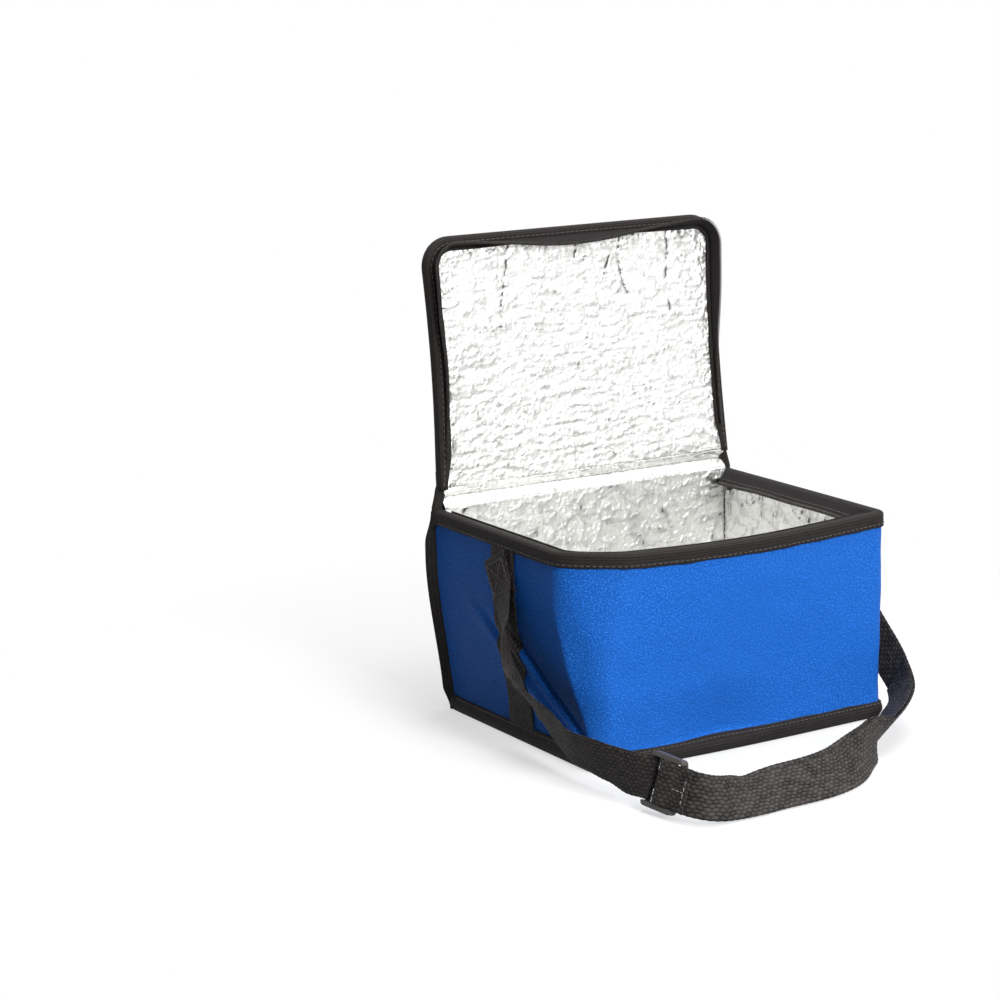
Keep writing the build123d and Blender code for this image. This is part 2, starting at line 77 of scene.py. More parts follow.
level = math.cos(CAMERA_ELEVATION)
back = Vector(
    (math.sin(CAMERA_AZIMUTH) * level, -math.cos(CAMERA_AZIMUTH) * level, math.sin(CAMERA_ELEVATION))
)
camera = bpy.data.objects.new("camera", bpy.data.cameras.new("camera"))
camera.data.sensor_width = 36.0
camera.data.lens = LENS
camera.data.clip_end = 50.0
camera.location = CAMERA_TARGET + back * CAMERA_DISTANCE
camera.rotation_mode = "QUATERNION"
camera.rotation_quaternion = (-back).to_track_quat("-Z", "Y") @ Quaternion((0, 0, 1), CAMERA_ROLL)
bpy.context.scene.collection.objects.link(camera)
bpy.context.scene.camera = camera
bpy.context.scene.view_settings.view_transform = "Standard"


# %% Colours and nodes
def linear(hex_colour):
    """sRGB hex to linear RGBA: below 0.04045 a straight line, above it a power of 2.4."""
    srgb = np.array([int(hex_colour[i : i + 2], 16) / 255 for i in (0, 2, 4)])
    rgb = np.where(srgb <= 0.04045, srgb / 12.92, ((srgb + 0.055) / 1.055) ** 2.4)
    return (*rgb.tolist(), 1.0)


def add_node(tree, kind, inputs=(), output=0, **settings):
    """Adds one shader node and returns one of its outputs. Inputs are given in order or by name;
    another node's output is linked, and any other value is set."""
    node = tree.nodes.new("ShaderNode" + kind)
    for setting, value in settings.items():
        setattr(node, setting, value)
    for key, value in inputs.items() if isinstance(inputs, dict) else enumerate(inputs):
        if isinstance(value, bpy.types.NodeSocket):
            tree.links.new(value, node.inputs[key])
        else:
            node.inputs[key].default_value = value
    return node.outputs[output] if node.outputs else None


def empty_material(name):
    """A material that has no nodes yet, with its node tree."""
    material = bpy.data.materials.new(name)
    material.use_nodes = True
    material.node_tree.nodes.clear()
    return material, material.node_tree


# %% Floor and world
WHITE = (1, 1, 1, 1)
FLOOR_SHADOW = 0.42          # how much of the floor's look is its lit surface, the rest is plain white
FLOOR_GREY = 0.9             # the lit surface as it is seen
FLOOR_BOUNCE = 0.22          # and as it lights the bag from below
SHADOW_FADES = (0.2, 0.5)    # metres from the middle, from full shadow to plain white
WORLD_LEVEL = 0.42
WORLD_FROM_LEFT = (-0.6, 0.2)    # the light from the left is weak, as when something dark stands there


def seen_directly(tree):
    """1 for camera, glossy and transmission rays, 0 for the rays that light the bag."""
    seen, glossy, through = (
        add_node(tree, "LightPath", output=f"Is {ray} Ray") for ray in ("Camera", "Glossy", "Transmission")
    )
    for rays in (glossy, through):
        seen = add_node(tree, "Math", (seen, rays), operation="MAXIMUM")
    return seen


floor_paper, tree = empty_material("matt_white_paper")
bounced = add_node(tree, "LightPath", output="Is Diffuse Ray")
shade = add_node(tree, "MapRange", {"Value": bounced, "To Min": FLOOR_GREY, "To Max": FLOOR_BOUNCE})
lit = add_node(tree, "BsdfDiffuse", {"Color": add_node(tree, "CombineColor", (shade, shade, shade))})
white = add_node(tree, "Emission", {"Color": WHITE, "Strength": 1.0})
place = add_node(tree, "TexCoord", output="Object")
away = add_node(tree, "VectorMath", (place,), "Value", operation="LENGTH")
near, far = SHADOW_FADES
fade = {"Value": away, "From Min": near, "From Max": far, "To Min": 1 - FLOOR_SHADOW, "To Max": 1.0}
share = add_node(tree, "Math", (seen_directly(tree), add_node(tree, "MapRange", fade)), operation="MULTIPLY")
add_node(tree, "OutputMaterial", {"Surface": add_node(tree, "MixShader", (share, lit, white))})

FLOOR_HALF = 6.0
floor_mesh = bpy.data.meshes.new("floor")
floor_corners = [(x * FLOOR_HALF, y * FLOOR_HALF, 0) for x, y in ((-1, -1), (1, -1), (1, 1), (-1, 1))]
floor_mesh.from_pydata(floor_corners, [], [(0, 1, 2, 3)])
floor_mesh.materials.append(floor_paper)
floor = bpy.data.objects.new("floor", floor_mesh)
bpy.context.scene.collection.objects.link(floor)

world = bpy.data.worlds.new("studio")
world.use_nodes = True
bpy.context.scene.world = world
tree = world.node_tree
tree.nodes.clear()
sideways = add_node(tree, "SeparateXYZ", (add_node(tree, "TexCoord", output="Generated"),), "X")
low, high = WORLD_FROM_LEFT
from_left = {"Value": sideways, "From Min": low, "From Max": high, "To Min": 0.0, "To Max": WORLD_LEVEL}
dim = add_node(tree, "Background", {"Color": WHITE, "Strength": add_node(tree, "MapRange", from_left)})
bright = add_node(tree, "Background", {"Color": WHITE, "Strength": 1.0})
add_node(tree, "OutputWorld", {"Surface": add_node(tree, "MixShader", (seen_directly(tree), dim, bright))})


# %% Lamps
def softbox(name, place, aim, size, power):
    """A square area lamp at `place`, facing `aim`."""
    lamp = bpy.data.objects.new(name, bpy.data.lights.new(name, "AREA"))
    lamp.data.size = size
    lamp.data.energy = power
    lamp.location = place
    lamp.rotation_mode = "QUATERNION"
    lamp.rotation_quaternion = (Vector(aim) - Vector(place)).to_track_quat("-Z", "Y")
    bpy.context.scene.collection.objects.link(lamp)


softbox("front_lamp", (-0.12, -1.7, 1.0), (0, 0, 0.1), 0.5, 32.0)
softbox("top_lamp", (0.25, -0.15, 2.0), (0, 0, 0.1), 1.2, 32.0)

# %% [markdown]
# ## From arrays to pieces
# Every new surface is a grid of points. A row of the grid runs along the piece and a column
# across it, and quads join neighbours. The UV map holds distances along the real cloth in
# metres, so a weave drawn with it keeps its thread size and follows every bend.


# %% Mesh helpers
def grid_faces(rows, columns, closed=False):
    """Quads between neighbours in a grid held row by row; `closed` joins last column to first."""
    row, column = np.meshgrid(np.arange(rows - 1), np.arange(columns - (not closed)), indexing="ij")
    here, below = row * columns, (row + 1) * columns
    right = (column + 1) % columns
    return np.stack((here + column, here + right, below + right, below + column), -1).reshape(-1, 4)


def end_caps(rows, columns):
    """Quads that close both ends of a tube with an even number of columns."""
    step = np.arange(columns // 2 - 1)
    first = np.stack((step, columns - 1 - step, columns - 2 - step, step + 1), -1)
    last = first[:, ::-1] + (rows - 1) * columns
    return np.concatenate((first, last))


def thicken(piece, thickness):
    """Gives a sheet its thickness behind its faces, and closes its edges."""
    solidify = piece.modifiers.new("thickness", "SOLIDIFY")
    solidify.thickness = thickness
    solidify.offset = -1.0


def new_piece(
    name, points, faces, lengths, look, body=None, node=None, flip=False, thickness=None, crease=None
):
    """Points in metres and quads become one smooth-shaded object at the origin. `lengths` are
    the cloth's own two distances at each point, `look` is a material with its slot, `node` is the
    solid that it stands for, and the crease values say how sharply each point is creased, which
    sets how much painted shade its colour gets there."""
    points = np.ascontiguousarray(points, float).reshape(-1, 3)
    faces = np.ascontiguousarray(faces[:, ::-1] if flip else faces)
    uv = np.stack(np.broadcast_arrays(*lengths), -1).astype(float).reshape(-1, 2)
    material, slot = look
    mesh = bpy.data.meshes.new(name)
    mesh.vertices.add(len(points))
    mesh.vertices.foreach_set("co", points.ravel())
    mesh.loops.add(faces.size)
    mesh.loops.foreach_set("vertex_index", faces.ravel())
    mesh.polygons.add(len(faces))
    mesh.polygons.foreach_set("loop_start", np.arange(0, faces.size, 4))
    mesh.update(calc_edges=True)
    mesh.polygons.foreach_set("use_smooth", np.ones(len(faces), bool))
    mesh.uv_layers.new(name="cloth").data.foreach_set("uv", uv[faces.ravel()].ravel())
    mesh.materials.append(material)
    piece = bpy.data.objects.new(name, mesh)
    bpy.context.scene.collection.objects.link(piece)
    if body:
        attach(piece, body)
    if node:
        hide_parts(node)
    # painted shade: the crease values are stored on the mesh to darken the film's folds in its colour
    if crease is not None:
        attribute = mesh.attributes.new("crease", "FLOAT", "POINT")
        attribute.data.foreach_set("value", np.clip(crease, 0, 1).astype(np.float32).ravel())
    if thickness:
        thicken(piece, thickness)
    print(f"{name}: {len(faces)} quads")
    return piece


def sheet(name, points, *details, **more):
    """A piece made of an open grid of points."""
    return new_piece(name, points, grid_faces(*points.shape[:2]), *details, **more)


def tube(name, points, *details, **more):
    """A piece made of rings of points, the last ring point joined to the first, both ends closed."""
    size = points.shape[:2]
    faces = np.concatenate((grid_faces(*size, closed=True), end_caps(*size)))
    return new_piece(name, points, faces, *details, **more)


# %% Helpers for lengths and directions
def even(low, high, step):
    """Evenly spaced lengths from `low` to `high`, about `step` apart."""
    return np.linspace(low, high, max(2, int(round((high - low) / step)) + 1))


def unit(vectors):
    """Vectors scaled to length one."""
    return vectors / np.linalg.norm(vectors, axis=-1, keepdims=True)


def run_along(path):
    """How far along a path each of its points lies, as the sum of the steps before it."""
    return np.concatenate(([0], np.cumsum(np.linalg.norm(np.diff(path, axis=0), axis=1))))


def points_at(at, run, path):
    """Points of a path at given distances along it."""
    return np.stack([np.interp(at, run, path[:, axis]) for axis in range(3)], -1)


# %% Soft noise
NOISE_COLUMNS, NOISE_ROWS = 97, 89    # cells before the noise repeats


def noise(u, v, seed):
    """Random heights on a unit lattice, joined smoothly: each cell blends its four corners."""
    heights = np.random.default_rng(seed).uniform(-1, 1, (NOISE_COLUMNS, NOISE_ROWS))
    column, row = np.floor(u).astype(int), np.floor(v).astype(int)
    across, up = u - column, v - row
    across, up = across * across * (3 - 2 * across), up * up * (3 - 2 * up)
    column, right = column % NOISE_COLUMNS, (column + 1) % NOISE_COLUMNS
    row, above = row % NOISE_ROWS, (row + 1) % NOISE_ROWS
    low = heights[column, row] * (1 - across) + heights[right, row] * across
    high = heights[column, above] * (1 - across) + heights[right, above] * across
    return low * (1 - up) + high * up


def ridges(u, v, seed):
    """1 less the size of the noise, so it peaks in sharp ridges along the noise's zero line."""
    return 1 - np.abs(noise(u, v, seed))


def ease(value, low, high):
    """0 below `low`, 1 above `high`, an S-curve between; `high` may be the smaller."""
    t = np.clip((value - low) / (high - low), 0, 1)
    return t * t * (3 - 2 * t)


# %% [markdown]
# ## Where a point of the bag lies
# The wall is one strip round three sides. A place on it is given by three lengths: along the
# strip, up from the floor, and out from the cloth. All layers use the same three lengths, so
# they bend and swell together, as sewn layers do. The lid has its own three lengths.

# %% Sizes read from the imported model
wall_low, wall_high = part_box("wall_cover")
rim_low, rim_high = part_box("rim_binding")
half_width = wall_high.x
front_y = wall_low.y
side_end_y = wall_high.y
rim_top = rim_high.z
back_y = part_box("back_base_cover")[1].y
cloth = half_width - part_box("wall_foam")[1].x
foil_depth = half_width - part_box("wall_liner")[1].x
tape_out = rim_high.x - half_width
base_edge_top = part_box("base_binding")[1].z

side_run = side_end_y - front_y
left_corner = side_run
right_corner = side_run + 2 * half_width
wall_run = right_corner + side_run
INNER_RADIUS = 2 * MM
SEAM_GAP = 0.6 * MM
past_end = back_y - side_end_y - SEAM_GAP    # the wall's cloth runs on to the back's, into the seam
print("wall strip mm", round(wall_run / MM, 1), "foil depth mm", round(foil_depth / MM, 2))

# %% The wall's shape
LEFT_RADIUS = 11 * MM        # the left front corner is blown a little round at its foot
LEFT_RIM_RADIUS = 28 * MM    # and is slack and wide at the rim
RIGHT_RADIUS = 7 * MM        # the right one is pressed into a fold
FRONT_BOW = 8 * MM
HOLLOW = 6.5 * MM            # depth of the hollows above the base seam
FOLD_DEPTH = 2.4 * MM
FOLD_SLOPE = 0.78            # rise of the slanting folds for each length along the wall
RIM_SAG = 2.0 * MM
FOOT_SHIFT = 12 * MM         # the foot of the left side stands further in
CORNER_PUSH = 14 * MM        # and so does the whole left front corner, up to the rim


def crest(offset, place, width):
    """A rounded crest across a slanting fold: 1 at its place, falling as a bell curve."""
    return np.exp(-(((offset - place * MM) / (width * MM)) ** 2))


def swell(s, z):
    """How far the soft wall stands out: a bow across the front, strongest at the open rim,
    hollows above the base, slanting folds low on the left side, and slow random waves."""
    across = np.clip((s - left_corner) / (right_corner - left_corner), 0, 1)
    out = FRONT_BOW * np.sin(np.pi * across) ** 1.3 * (0.35 + 0.65 * ease(z, 20 * MM, rim_top))
    near_foot = 1 - ease(z, 12 * MM, 50 * MM)
    away = ease(z, 4 * MM, 14 * MM)
    hollows = 0.5 + 0.5 * noise(s / (55 * MM), z / (90 * MM), 3)
    out = out - HOLLOW * hollows**1.5 * near_foot * away
    side = (1 - ease(s, left_corner - 25 * MM, left_corner)) * ease(s, 8 * MM, 50 * MM)
    slant = (left_corner - s) * FOLD_SLOPE - (z - 10 * MM)
    folds = crest(slant, 7, 5) - crest(slant, 0, 3.5) + 0.8 * crest(slant, 26, 6) - 0.8 * crest(slant, 18, 4)
    out = out + FOLD_DEPTH * folds * side * away * (1 - ease(z, 60 * MM, 95 * MM))
    calm = ease(z, 6 * MM, 25 * MM) * (1 - ease(z, rim_top - 30 * MM, rim_top - 12 * MM))
    out = out + 0.55 * MM * noise(s / (38 * MM), z / (30 * MM), 5) * calm
    return out + 0.25 * MM * noise(s / (14 * MM) + z / (20 * MM), z / (16 * MM), 6) * calm


def settle(x, y, z):
    """The whole bag leans a little: the left foot and the left front corner move in, by the larger
    of their two shifts, and the rim sags across the front."""
    foot = FOOT_SHIFT * (1 - ease(z, 0, 108 * MM))
    corner = CORNER_PUSH * ease(-y, 56 * MM, 88 * MM)
    shift = np.maximum(foot, corner) * ease(-x, -40 * MM, half_width)
    sag = RIM_SAG * ease(z, 60 * MM, rim_top) * np.cos(np.pi * np.clip(x / (2.1 * half_width), -0.5, 0.5))
    return np.stack((x + shift, y, z - sag * (1 - ease(y, front_y, -20 * MM))), -1)


def on_wall(s, z, out):
    """Wall lengths to a point. The plan is a rectangle whose front corners turn through quarter
    circles; a place in a corner turns in step with its length, and the rest runs straight."""
    s, z, out = np.broadcast_arrays(s, z, out)
    left = LEFT_RADIUS + (LEFT_RIM_RADIUS - LEFT_RADIUS) * ease(z, 65 * MM, rim_top)
    left = np.maximum(left, INNER_RADIUS - out)
    right = np.maximum(RIGHT_RADIUS, INNER_RADIUS - out)
    turned = np.clip((s - left_corner) / left, -1, 1) + np.clip((s - right_corner) / right, -1, 1)
    angle = np.pi + (turned + 2) * np.pi / 4
    radius = np.where(s < wall_run / 2, left, right)
    x = np.clip(s - left_corner - half_width, left - half_width, half_width - right)
    y = np.maximum(side_end_y - np.minimum(s, wall_run - s), front_y + radius)
    reach = radius + out + swell(s, z)
    return settle(x + reach * np.cos(angle), y + reach * np.sin(angle), z)


# %% The lid's shape
hinge = next(joint for joint in frame["joints"] if joint["type"] == "hinge" and joint["child"] == "lid")
hinge_y, hinge_z = hinge["pos_m"][1:]
lid_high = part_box("lid_cover")[1]
LID_LEAN = math.radians(5.6)
lid_half = lid_high.x
LID_CORNER = 20 * MM
LID_BILLOW = 3.0 * MM
LID_WAIST = 3.0 * MM         # the long sides draw in between hinge and corners


def up_lid(z):
    """How far up the leaning lid a height lies, from the hinge."""
    return (z - hinge_z) / math.cos(LID_LEAN)


lid_length = up_lid(lid_high.z)
lid_run = 2 * lid_length + 2 * lid_half
print("lid mm", round(2 * lid_half / MM, 1), "by", round(lid_length / MM, 1))


def on_lid(a, b, c):
    """Lid lengths to a point: a across, b away from the hinge, c off the cloth towards the foil.
    The panel leans back from upright; it billows outwards, and its sides draw in at half length."""
    a, b, c = np.broadcast_arrays(a, b, c)
    rise = np.sin(np.pi * np.clip(b / lid_length, 0, 1))
    c = c - LID_BILLOW * rise * np.cos(np.pi / 2 * np.clip(a / lid_half, -1, 1))
    a = a - LID_WAIST * rise * ease(np.abs(a), 0, lid_half) * np.sign(a)
    y = hinge_y + b * math.sin(LID_LEAN) - c * math.cos(LID_LEAN)
    z = hinge_z + b * math.cos(LID_LEAN) + c * math.sin(LID_LEAN)
    return np.stack((a, y, z), -1)


def on_lid_edge(s, inset, c):
    """A point along the lid's three free edges: s runs up the left side, across and down the
    right side; the two corners turn through quarter circles, inset from the edge as given."""
    s, inset, c = np.broadcast_arrays(s, inset, c)
    radius = np.maximum(LID_CORNER, INNER_RADIUS + inset)
    past_left, past_right = s - lid_length, s - lid_length - 2 * lid_half
    angle = np.pi - (np.clip(past_left / radius, -1, 1) + np.clip(past_right / radius, -1, 1) + 2) * np.pi / 4
    a = np.clip(past_left - lid_half, radius - lid_half, lid_half - radius)
    b = np.minimum(np.minimum(s, lid_run - s), lid_length - radius)
    reach = radius - inset
    return on_lid(a + reach * np.cos(angle), b + reach * np.sin(angle), c)


# %% [markdown]
# ## Finishes
# Each finish starts from what the real thing is. Threads, ribs and nubs are sine waves along the
# cloth's own lengths, with their pitch in millimetres, and a little noise breaks their evenness.


# %% Pattern helpers
def cloth_lengths(tree):
    """The piece's own map, in metres of cloth: the pair, then along and across by themselves."""
    pair = add_node(tree, "UVMap", uv_map="cloth")
    return pair, add_node(tree, "SeparateXYZ", (pair,), "X"), add_node(tree, "SeparateXYZ", (pair,), "Y")


def ribs(tree, length, pitch):
    """A sine wave along one length, from -1 to 1, with a crest every `pitch`."""
    turn = add_node(tree, "Math", (length, 2 * math.pi / pitch), operation="MULTIPLY")
    return add_node(tree, "Math", (turn,), operation="SINE")


def slanting_ribs(tree, pitch):
    """Ribs at 45 degrees to the cloth's edges: a wave along the sum of its two lengths."""
    _, along, across = cloth_lengths(tree)
    return ribs(tree, add_node(tree, "Math", (along, across), operation="ADD"), pitch)


def finish(name, slot, pattern, proud, spread, colours, roughness=0.75, strength=0.6, shine=()):
    """A material with its slot. The pattern gives two values: a height, for a bump whose crests
    stand `proud`, and a tint, which goes from the dark colour to the light one over `spread`."""
    material, tree = empty_material(name)
    height, tint = pattern(tree)
    share = add_node(tree, "MapRange", {"Value": tint, "From Min": spread[0], "From Max": spread[1]})
    dark, light = (linear(colour) for colour in colours)
    colour = add_node(tree, "Mix", {"Factor": share, 6: dark, 7: light}, 2, data_type="RGBA")
    bump = add_node(tree, "Bump", {"Height": height, "Distance": proud, "Strength": strength})
    surface = {"Base Color": colour, "Normal": bump, "Roughness": roughness, **dict(shine)}
    add_node(tree, "OutputMaterial", {"Surface": add_node(tree, "BsdfPrincipled", surface)})
    return material, slot


def cloth_shine(sheen, specular):
    """Matt cloth: a touch of sheen from loose fibres, and hardly any mirror."""
    return {"Sheen Weight": sheen, "Specular IOR Level": specular}


# %% Blue woven polyester
# Plain weave of filament yarn, coated inside. Filament is smooth, so single crossings flash; these glints are
# painted into the colour as light flecks.
# Real threads are 0.5 mm apart; they are drawn 1 mm apart, which is the finest that shows.
YARN = 1.0 * MM


def plain_weave(tree):
    """Crossings are the product of two waves, with slanting ribs over them. The painted glints are
    noise to a high power, so that only its peaks are left, and they lighten the colour."""
    place, along, across = cloth_lengths(tree)
    yarns = (ribs(tree, along, YARN), ribs(tree, across, YARN))
    crossings = add_node(tree, "Math", yarns, operation="MULTIPLY")
    lay = add_node(tree, "Math", (along, 0.8, across), operation="MULTIPLY_ADD")
    weave = add_node(tree, "Math", (ribs(tree, lay, 1.7 * MM), 0.6, crossings), operation="MULTIPLY_ADD")
    cloudy = add_node(tree, "TexNoise", {"Vector": place, "Scale": 1 / (1.1 * MM), "Detail": 2.0})
    # painted highlight: tiny light flecks that stand in for glints off single crossings
    painted_glints = add_node(tree, "Math", (cloudy, 5.0), operation="POWER")
    return weave, add_node(tree, "Math", (painted_glints, 20.0, weave), operation="MULTIPLY_ADD")


blue_cloth = finish(
    "blue_woven_polyester", "cloth", plain_weave, 0.12 * MM, (0.2, 2.4), ("0c55b8", "3590fd"),
    0.55, 0.7, cloth_shine(0.02, 0.12),
)


# %% Black grosgrain tape
# Polypropylene binding tape: raised lines run along it, with fine cross ribs between them.
def ribbed(tree):
    """Lines across the width, crossed by finer ribs; the tint adds clouds of wear."""
    place, along, across = cloth_lengths(tree)
    lines = add_node(tree, "Math", (ribs(tree, across, 1.9 * MM), 0.7), operation="MULTIPLY")
    grain = add_node(tree, "Math", (ribs(tree, along, 0.9 * MM), 0.5, lines), operation="MULTIPLY_ADD")
    wear = add_node(tree, "TexNoise", {"Vector": place, "Scale": 1 / (3 * MM), "Detail": 2.0})
    return grain, add_node(tree, "Math", (wear, 1.6, grain), operation="MULTIPLY_ADD")


grosgrain = finish(
    "black_grosgrain_tape", "grosgrain", ribbed, 0.14 * MM, (-0.8, 2.2), ("191717", "373332"),
    0.7, 0.7, cloth_shine(0.02, 0.1),
)


# %% Black zip tape
# Knitted polyester with a fine herringbone: slanting ribs that change side every 2 mm.
def herringbone(tree):
    """Ribs along one length, pushed to and fro by a zigzag of the other."""
    _, along, across = cloth_lengths(tree)
    zigzag = add_node(tree, "Math", (across, 2 * MM), operation="PINGPONG")
    herring = ribs(tree, add_node(tree, "Math", (along, zigzag), operation="ADD"), 1.1 * MM)
    return herring, herring


zip_cloth = finish(
    "black_zip_tape", "zip_tape", herringbone, 0.08 * MM, (-1.4, 1.4), ("1b1a1a", "343131"),
    0.8, shine={"Specular IOR Level": 0.1},
)

# %% Black webbing
# Polypropylene strap in a basket weave: long nubs in staggered rows, like pebbles. They are bumps
# in the mesh, and their colour follows the same grid: painted light on their tops and painted
# shade in the gaps between them.
NUB_ACROSS = 2.35 * MM       # from row to row
NUB_ALONG = 4.2 * MM         # from nub to nub in a row
ROW_WAVER, WAVER_PITCH = 0.16, 11 * MM    # the rows wander by this share of their distance


def basket(tree):
    """Each place is measured from the top of its own nub, in shares of the two distances. The
    tint falls with that distance, as painted light on the tops and painted shade between the nubs,
    and differs from nub to nub and slowly along the strap."""
    place, along, across = cloth_lengths(tree)
    in_rows = add_node(tree, "Math", (across, NUB_ACROSS), operation="DIVIDE")
    waver = ribs(tree, along, WAVER_PITCH)
    in_rows = add_node(tree, "Math", (waver, ROW_WAVER, in_rows), operation="MULTIPLY_ADD")
    row = add_node(tree, "Math", (in_rows,), operation="ROUND")
    in_row = add_node(tree, "Math", (along, NUB_ALONG), operation="DIVIDE")
    in_row = add_node(tree, "Math", (row, 0.5, in_row), operation="MULTIPLY_ADD")
    nub = add_node(tree, "Math", (in_row,), operation="ROUND")
    off_nub, off_row = (
        add_node(tree, "Math", pair, operation="SUBTRACT") for pair in ((in_row, nub), (in_rows, row))
    )
    offset = add_node(tree, "CombineXYZ", (off_nub, off_row))
    from_top = add_node(tree, "VectorMath", (offset,), "Value", operation="LENGTH")
    chance = add_node(tree, "TexWhiteNoise", {0: add_node(tree, "CombineXYZ", (row, nub))}, "Value")
    chance = add_node(tree, "Math", (chance, 0.3), operation="MULTIPLY")
    # painted shade: darker away from each nub's top, plus a random tone for each nub
    nub_tone_and_shade = add_node(tree, "Math", (chance, from_top), operation="SUBTRACT")
    dust = add_node(tree, "TexNoise", {"Vector": place, "Scale": 1 / (9 * MM), "Detail": 2.0})
    return slanting_ribs(tree, 0.7 * MM), add_node(tree, "Math", (dust, 0.3, nub_tone_and_shade), operation="MULTIPLY_ADD")


webbing_cloth = finish(
    "black_basket_webbing", "webbing", basket, 0.05 * MM, (-0.42, 0.35), ("0e0d0d", "524e4c"),
    0.6, 0.5, cloth_shine(0.01, 0.12),
)


# %% Black net and sewing thread
# Knitted net and lockstitch thread are both twisted yarn: what shows is the slant of the plies.
def plies(pitch):
    """A pattern of slanting plies with a given pitch, for the bump and the tint alike."""
    return lambda tree: (slanting_ribs(tree, pitch),) * 2


net_cloth, black_thread, grey_thread = (
    finish(name, slot, plies(pitch), proud, (-1, 1), colours, roughness)
    for name, slot, pitch, proud, colours, roughness in (
        ("black_polyester_net", "mesh", 0.6 * MM, 0.08 * MM, ("262423", "45413f"), 0.6),
        ("black_sewing_thread", "grosgrain", 0.5 * MM, 0.05 * MM, ("3a3635", "6b6664"), 0.5),
        ("grey_sewing_thread", "grosgrain", 0.5 * MM, 0.05 * MM, ("86817d", "b4afaa"), 0.5),
    )
)


# %% Nylon coil, enamelled zinc and moulded acetal
# The coil is nylon monofilament, drawn and dyed: its turns are too fine to flash one by one. The
# slider is zinc, tumbled and enamelled. The adjuster is moulded with a spark-eroded grain.
def clouds(size, detail, on_thread=False):
    """A pattern of clouds about `size` wide, for the bump and the tint alike. It lies along a
    thread by the thread's own lengths, and through a moulded part by its place in the part."""

    def pattern(tree):
        place = cloth_lengths(tree)[0] if on_thread else add_node(tree, "TexCoord", output="Object")
        cloud = add_node(tree, "TexNoise", {"Vector": place, "Scale": 1 / size, "Detail": detail})
        return cloud, cloud

    return pattern


nylon_coil = finish(
    "black_nylon_coil", "zip_coil", clouds(4 * MM, 2.0, True), 0.02 * MM, (0, 1), ("2e2c2b", "5a5653"),
    0.5, 0.2, {"IOR": 1.53, "Specular IOR Level": 0.15},
)
moulded_plastic = finish(
    "black_moulded_acetal", "glide_plastic", clouds(0.8 * MM, 3.0), 0.05 * MM, (0.2, 0.8),
    ("3b3837", "4d4947"), 0.45, 0.4, {"IOR": 1.48},
)
black_enamel = finish(
    "black_enamelled_zinc", "zip_metal", clouds(2.5 * MM, 3.0), 0.03 * MM, (0.2, 0.8),
    ("191818", "2a2827"), 0.3, 0.4, {"Coat Weight": 0.5, "Coat Roughness": 0.15},
)
hard_parts = {name: black_enamel for name in ("zip_slider", "zip_pull", "zip_stops")}
hard_parts["tri_glide"] = moulded_plastic
for name, (material, _) in hard_parts.items():
    frame["nodes"][name].data.materials.clear()
    frame["nodes"][name].data.materials.append(material)


# %% Foam and silver film
# Closed-cell polyethylene foam is matt and white, with a skin of tiny cells. The film is
# polyethylene with a vapour coat of aluminium: a mirror that is crushed into small facets. The
# big crushes are in the mesh. The bump adds the small ones. The mesh's own crease values paint
# shade into the sharp folds, a painted dark reflection where the mirror only sees itself.
def cells(tree):
    """Distance from the nearest of many scattered points, as cells in foam."""
    place = cloth_lengths(tree)[0]
    return (add_node(tree, "TexVoronoi", {"Vector": place, "Scale": 1 / (1.2 * MM)}),) * 2


def crushed(tree):
    """Rough noise with softened facets for the bump; the stored crease values for the tint, which paint shade
    into the folds.
    """
    place = cloth_lengths(tree)[0]
    warped = add_node(
        tree, "TexNoise", {"Vector": place, "Scale": 1 / (7 * MM), "Detail": 5.0, "Roughness": 0.62}
    )
    facets = add_node(tree, "TexVoronoi", {"Vector": place, "Scale": 1 / (2.6 * MM)}, feature="SMOOTH_F1")
    rough = add_node(tree, "Math", (warped, 2.2), operation="MULTIPLY")
    height = add_node(tree, "Math", (rough, facets), operation="ADD")
    return height, add_node(tree, "Attribute", output="Fac", attribute_name="crease")


foam_skin = finish("white_polyethylene_foam", "foam", cells, 0.1 * MM, (0, 1), ("dcdcd8", "f2f2ee"), 0.85)
# The dark colour is painted shade: the crease values tint the film towards it in its folds.
silver_film = finish(
    "crushed_silver_film", "foil", crushed, 0.55 * MM, (0, 1), ("fcfcfa", "2a2928"),
    0.38, 0.9, {"Metallic": 0.9},
)

# %% [markdown]
# ## The outer cloth
# One strip of cloth goes round the left side, the front and the right side. A second strip is
# the base, the back and the lid in one run, so no seam shows at the hinge. That second strip is
# cut here in three pieces that share their edges: base with back, hinge, and lid. The hinge
# piece bends between the two bodies, so the cloth stays whole at every angle of the lid.

# %% Wall cloth
COVER = 0.7 * cloth          # the woven cloth by itself, without the air under it
FILM = 0.25 * MM
TAPE_THICKNESS = 0.8 * MM
s, z = np.meshgrid(even(-past_end, wall_run + past_end, 1.7 * MM), even(1 * MM, rim_top - 1.5 * MM, 2.0 * MM))
sheet("cover_wall", on_wall(s, z, 0.0), (s, z), blue_cloth, "bag", "wall_cover", thickness=COVER)

# %% Base and back in one strip
FOLD_RADIUS = 6.4 * MM
HINGE_REACH = 6 * MM         # cloth each side of the hinge line that bends
BACK_BELLY = 2.0 * MM
base_run = back_y - FOLD_RADIUS - front_y
fold_run = FOLD_RADIUS * math.pi / 2
back_start = base_run + fold_run
back_run = hinge_z - HINGE_REACH - FOLD_RADIUS
strip_run = back_start + back_run


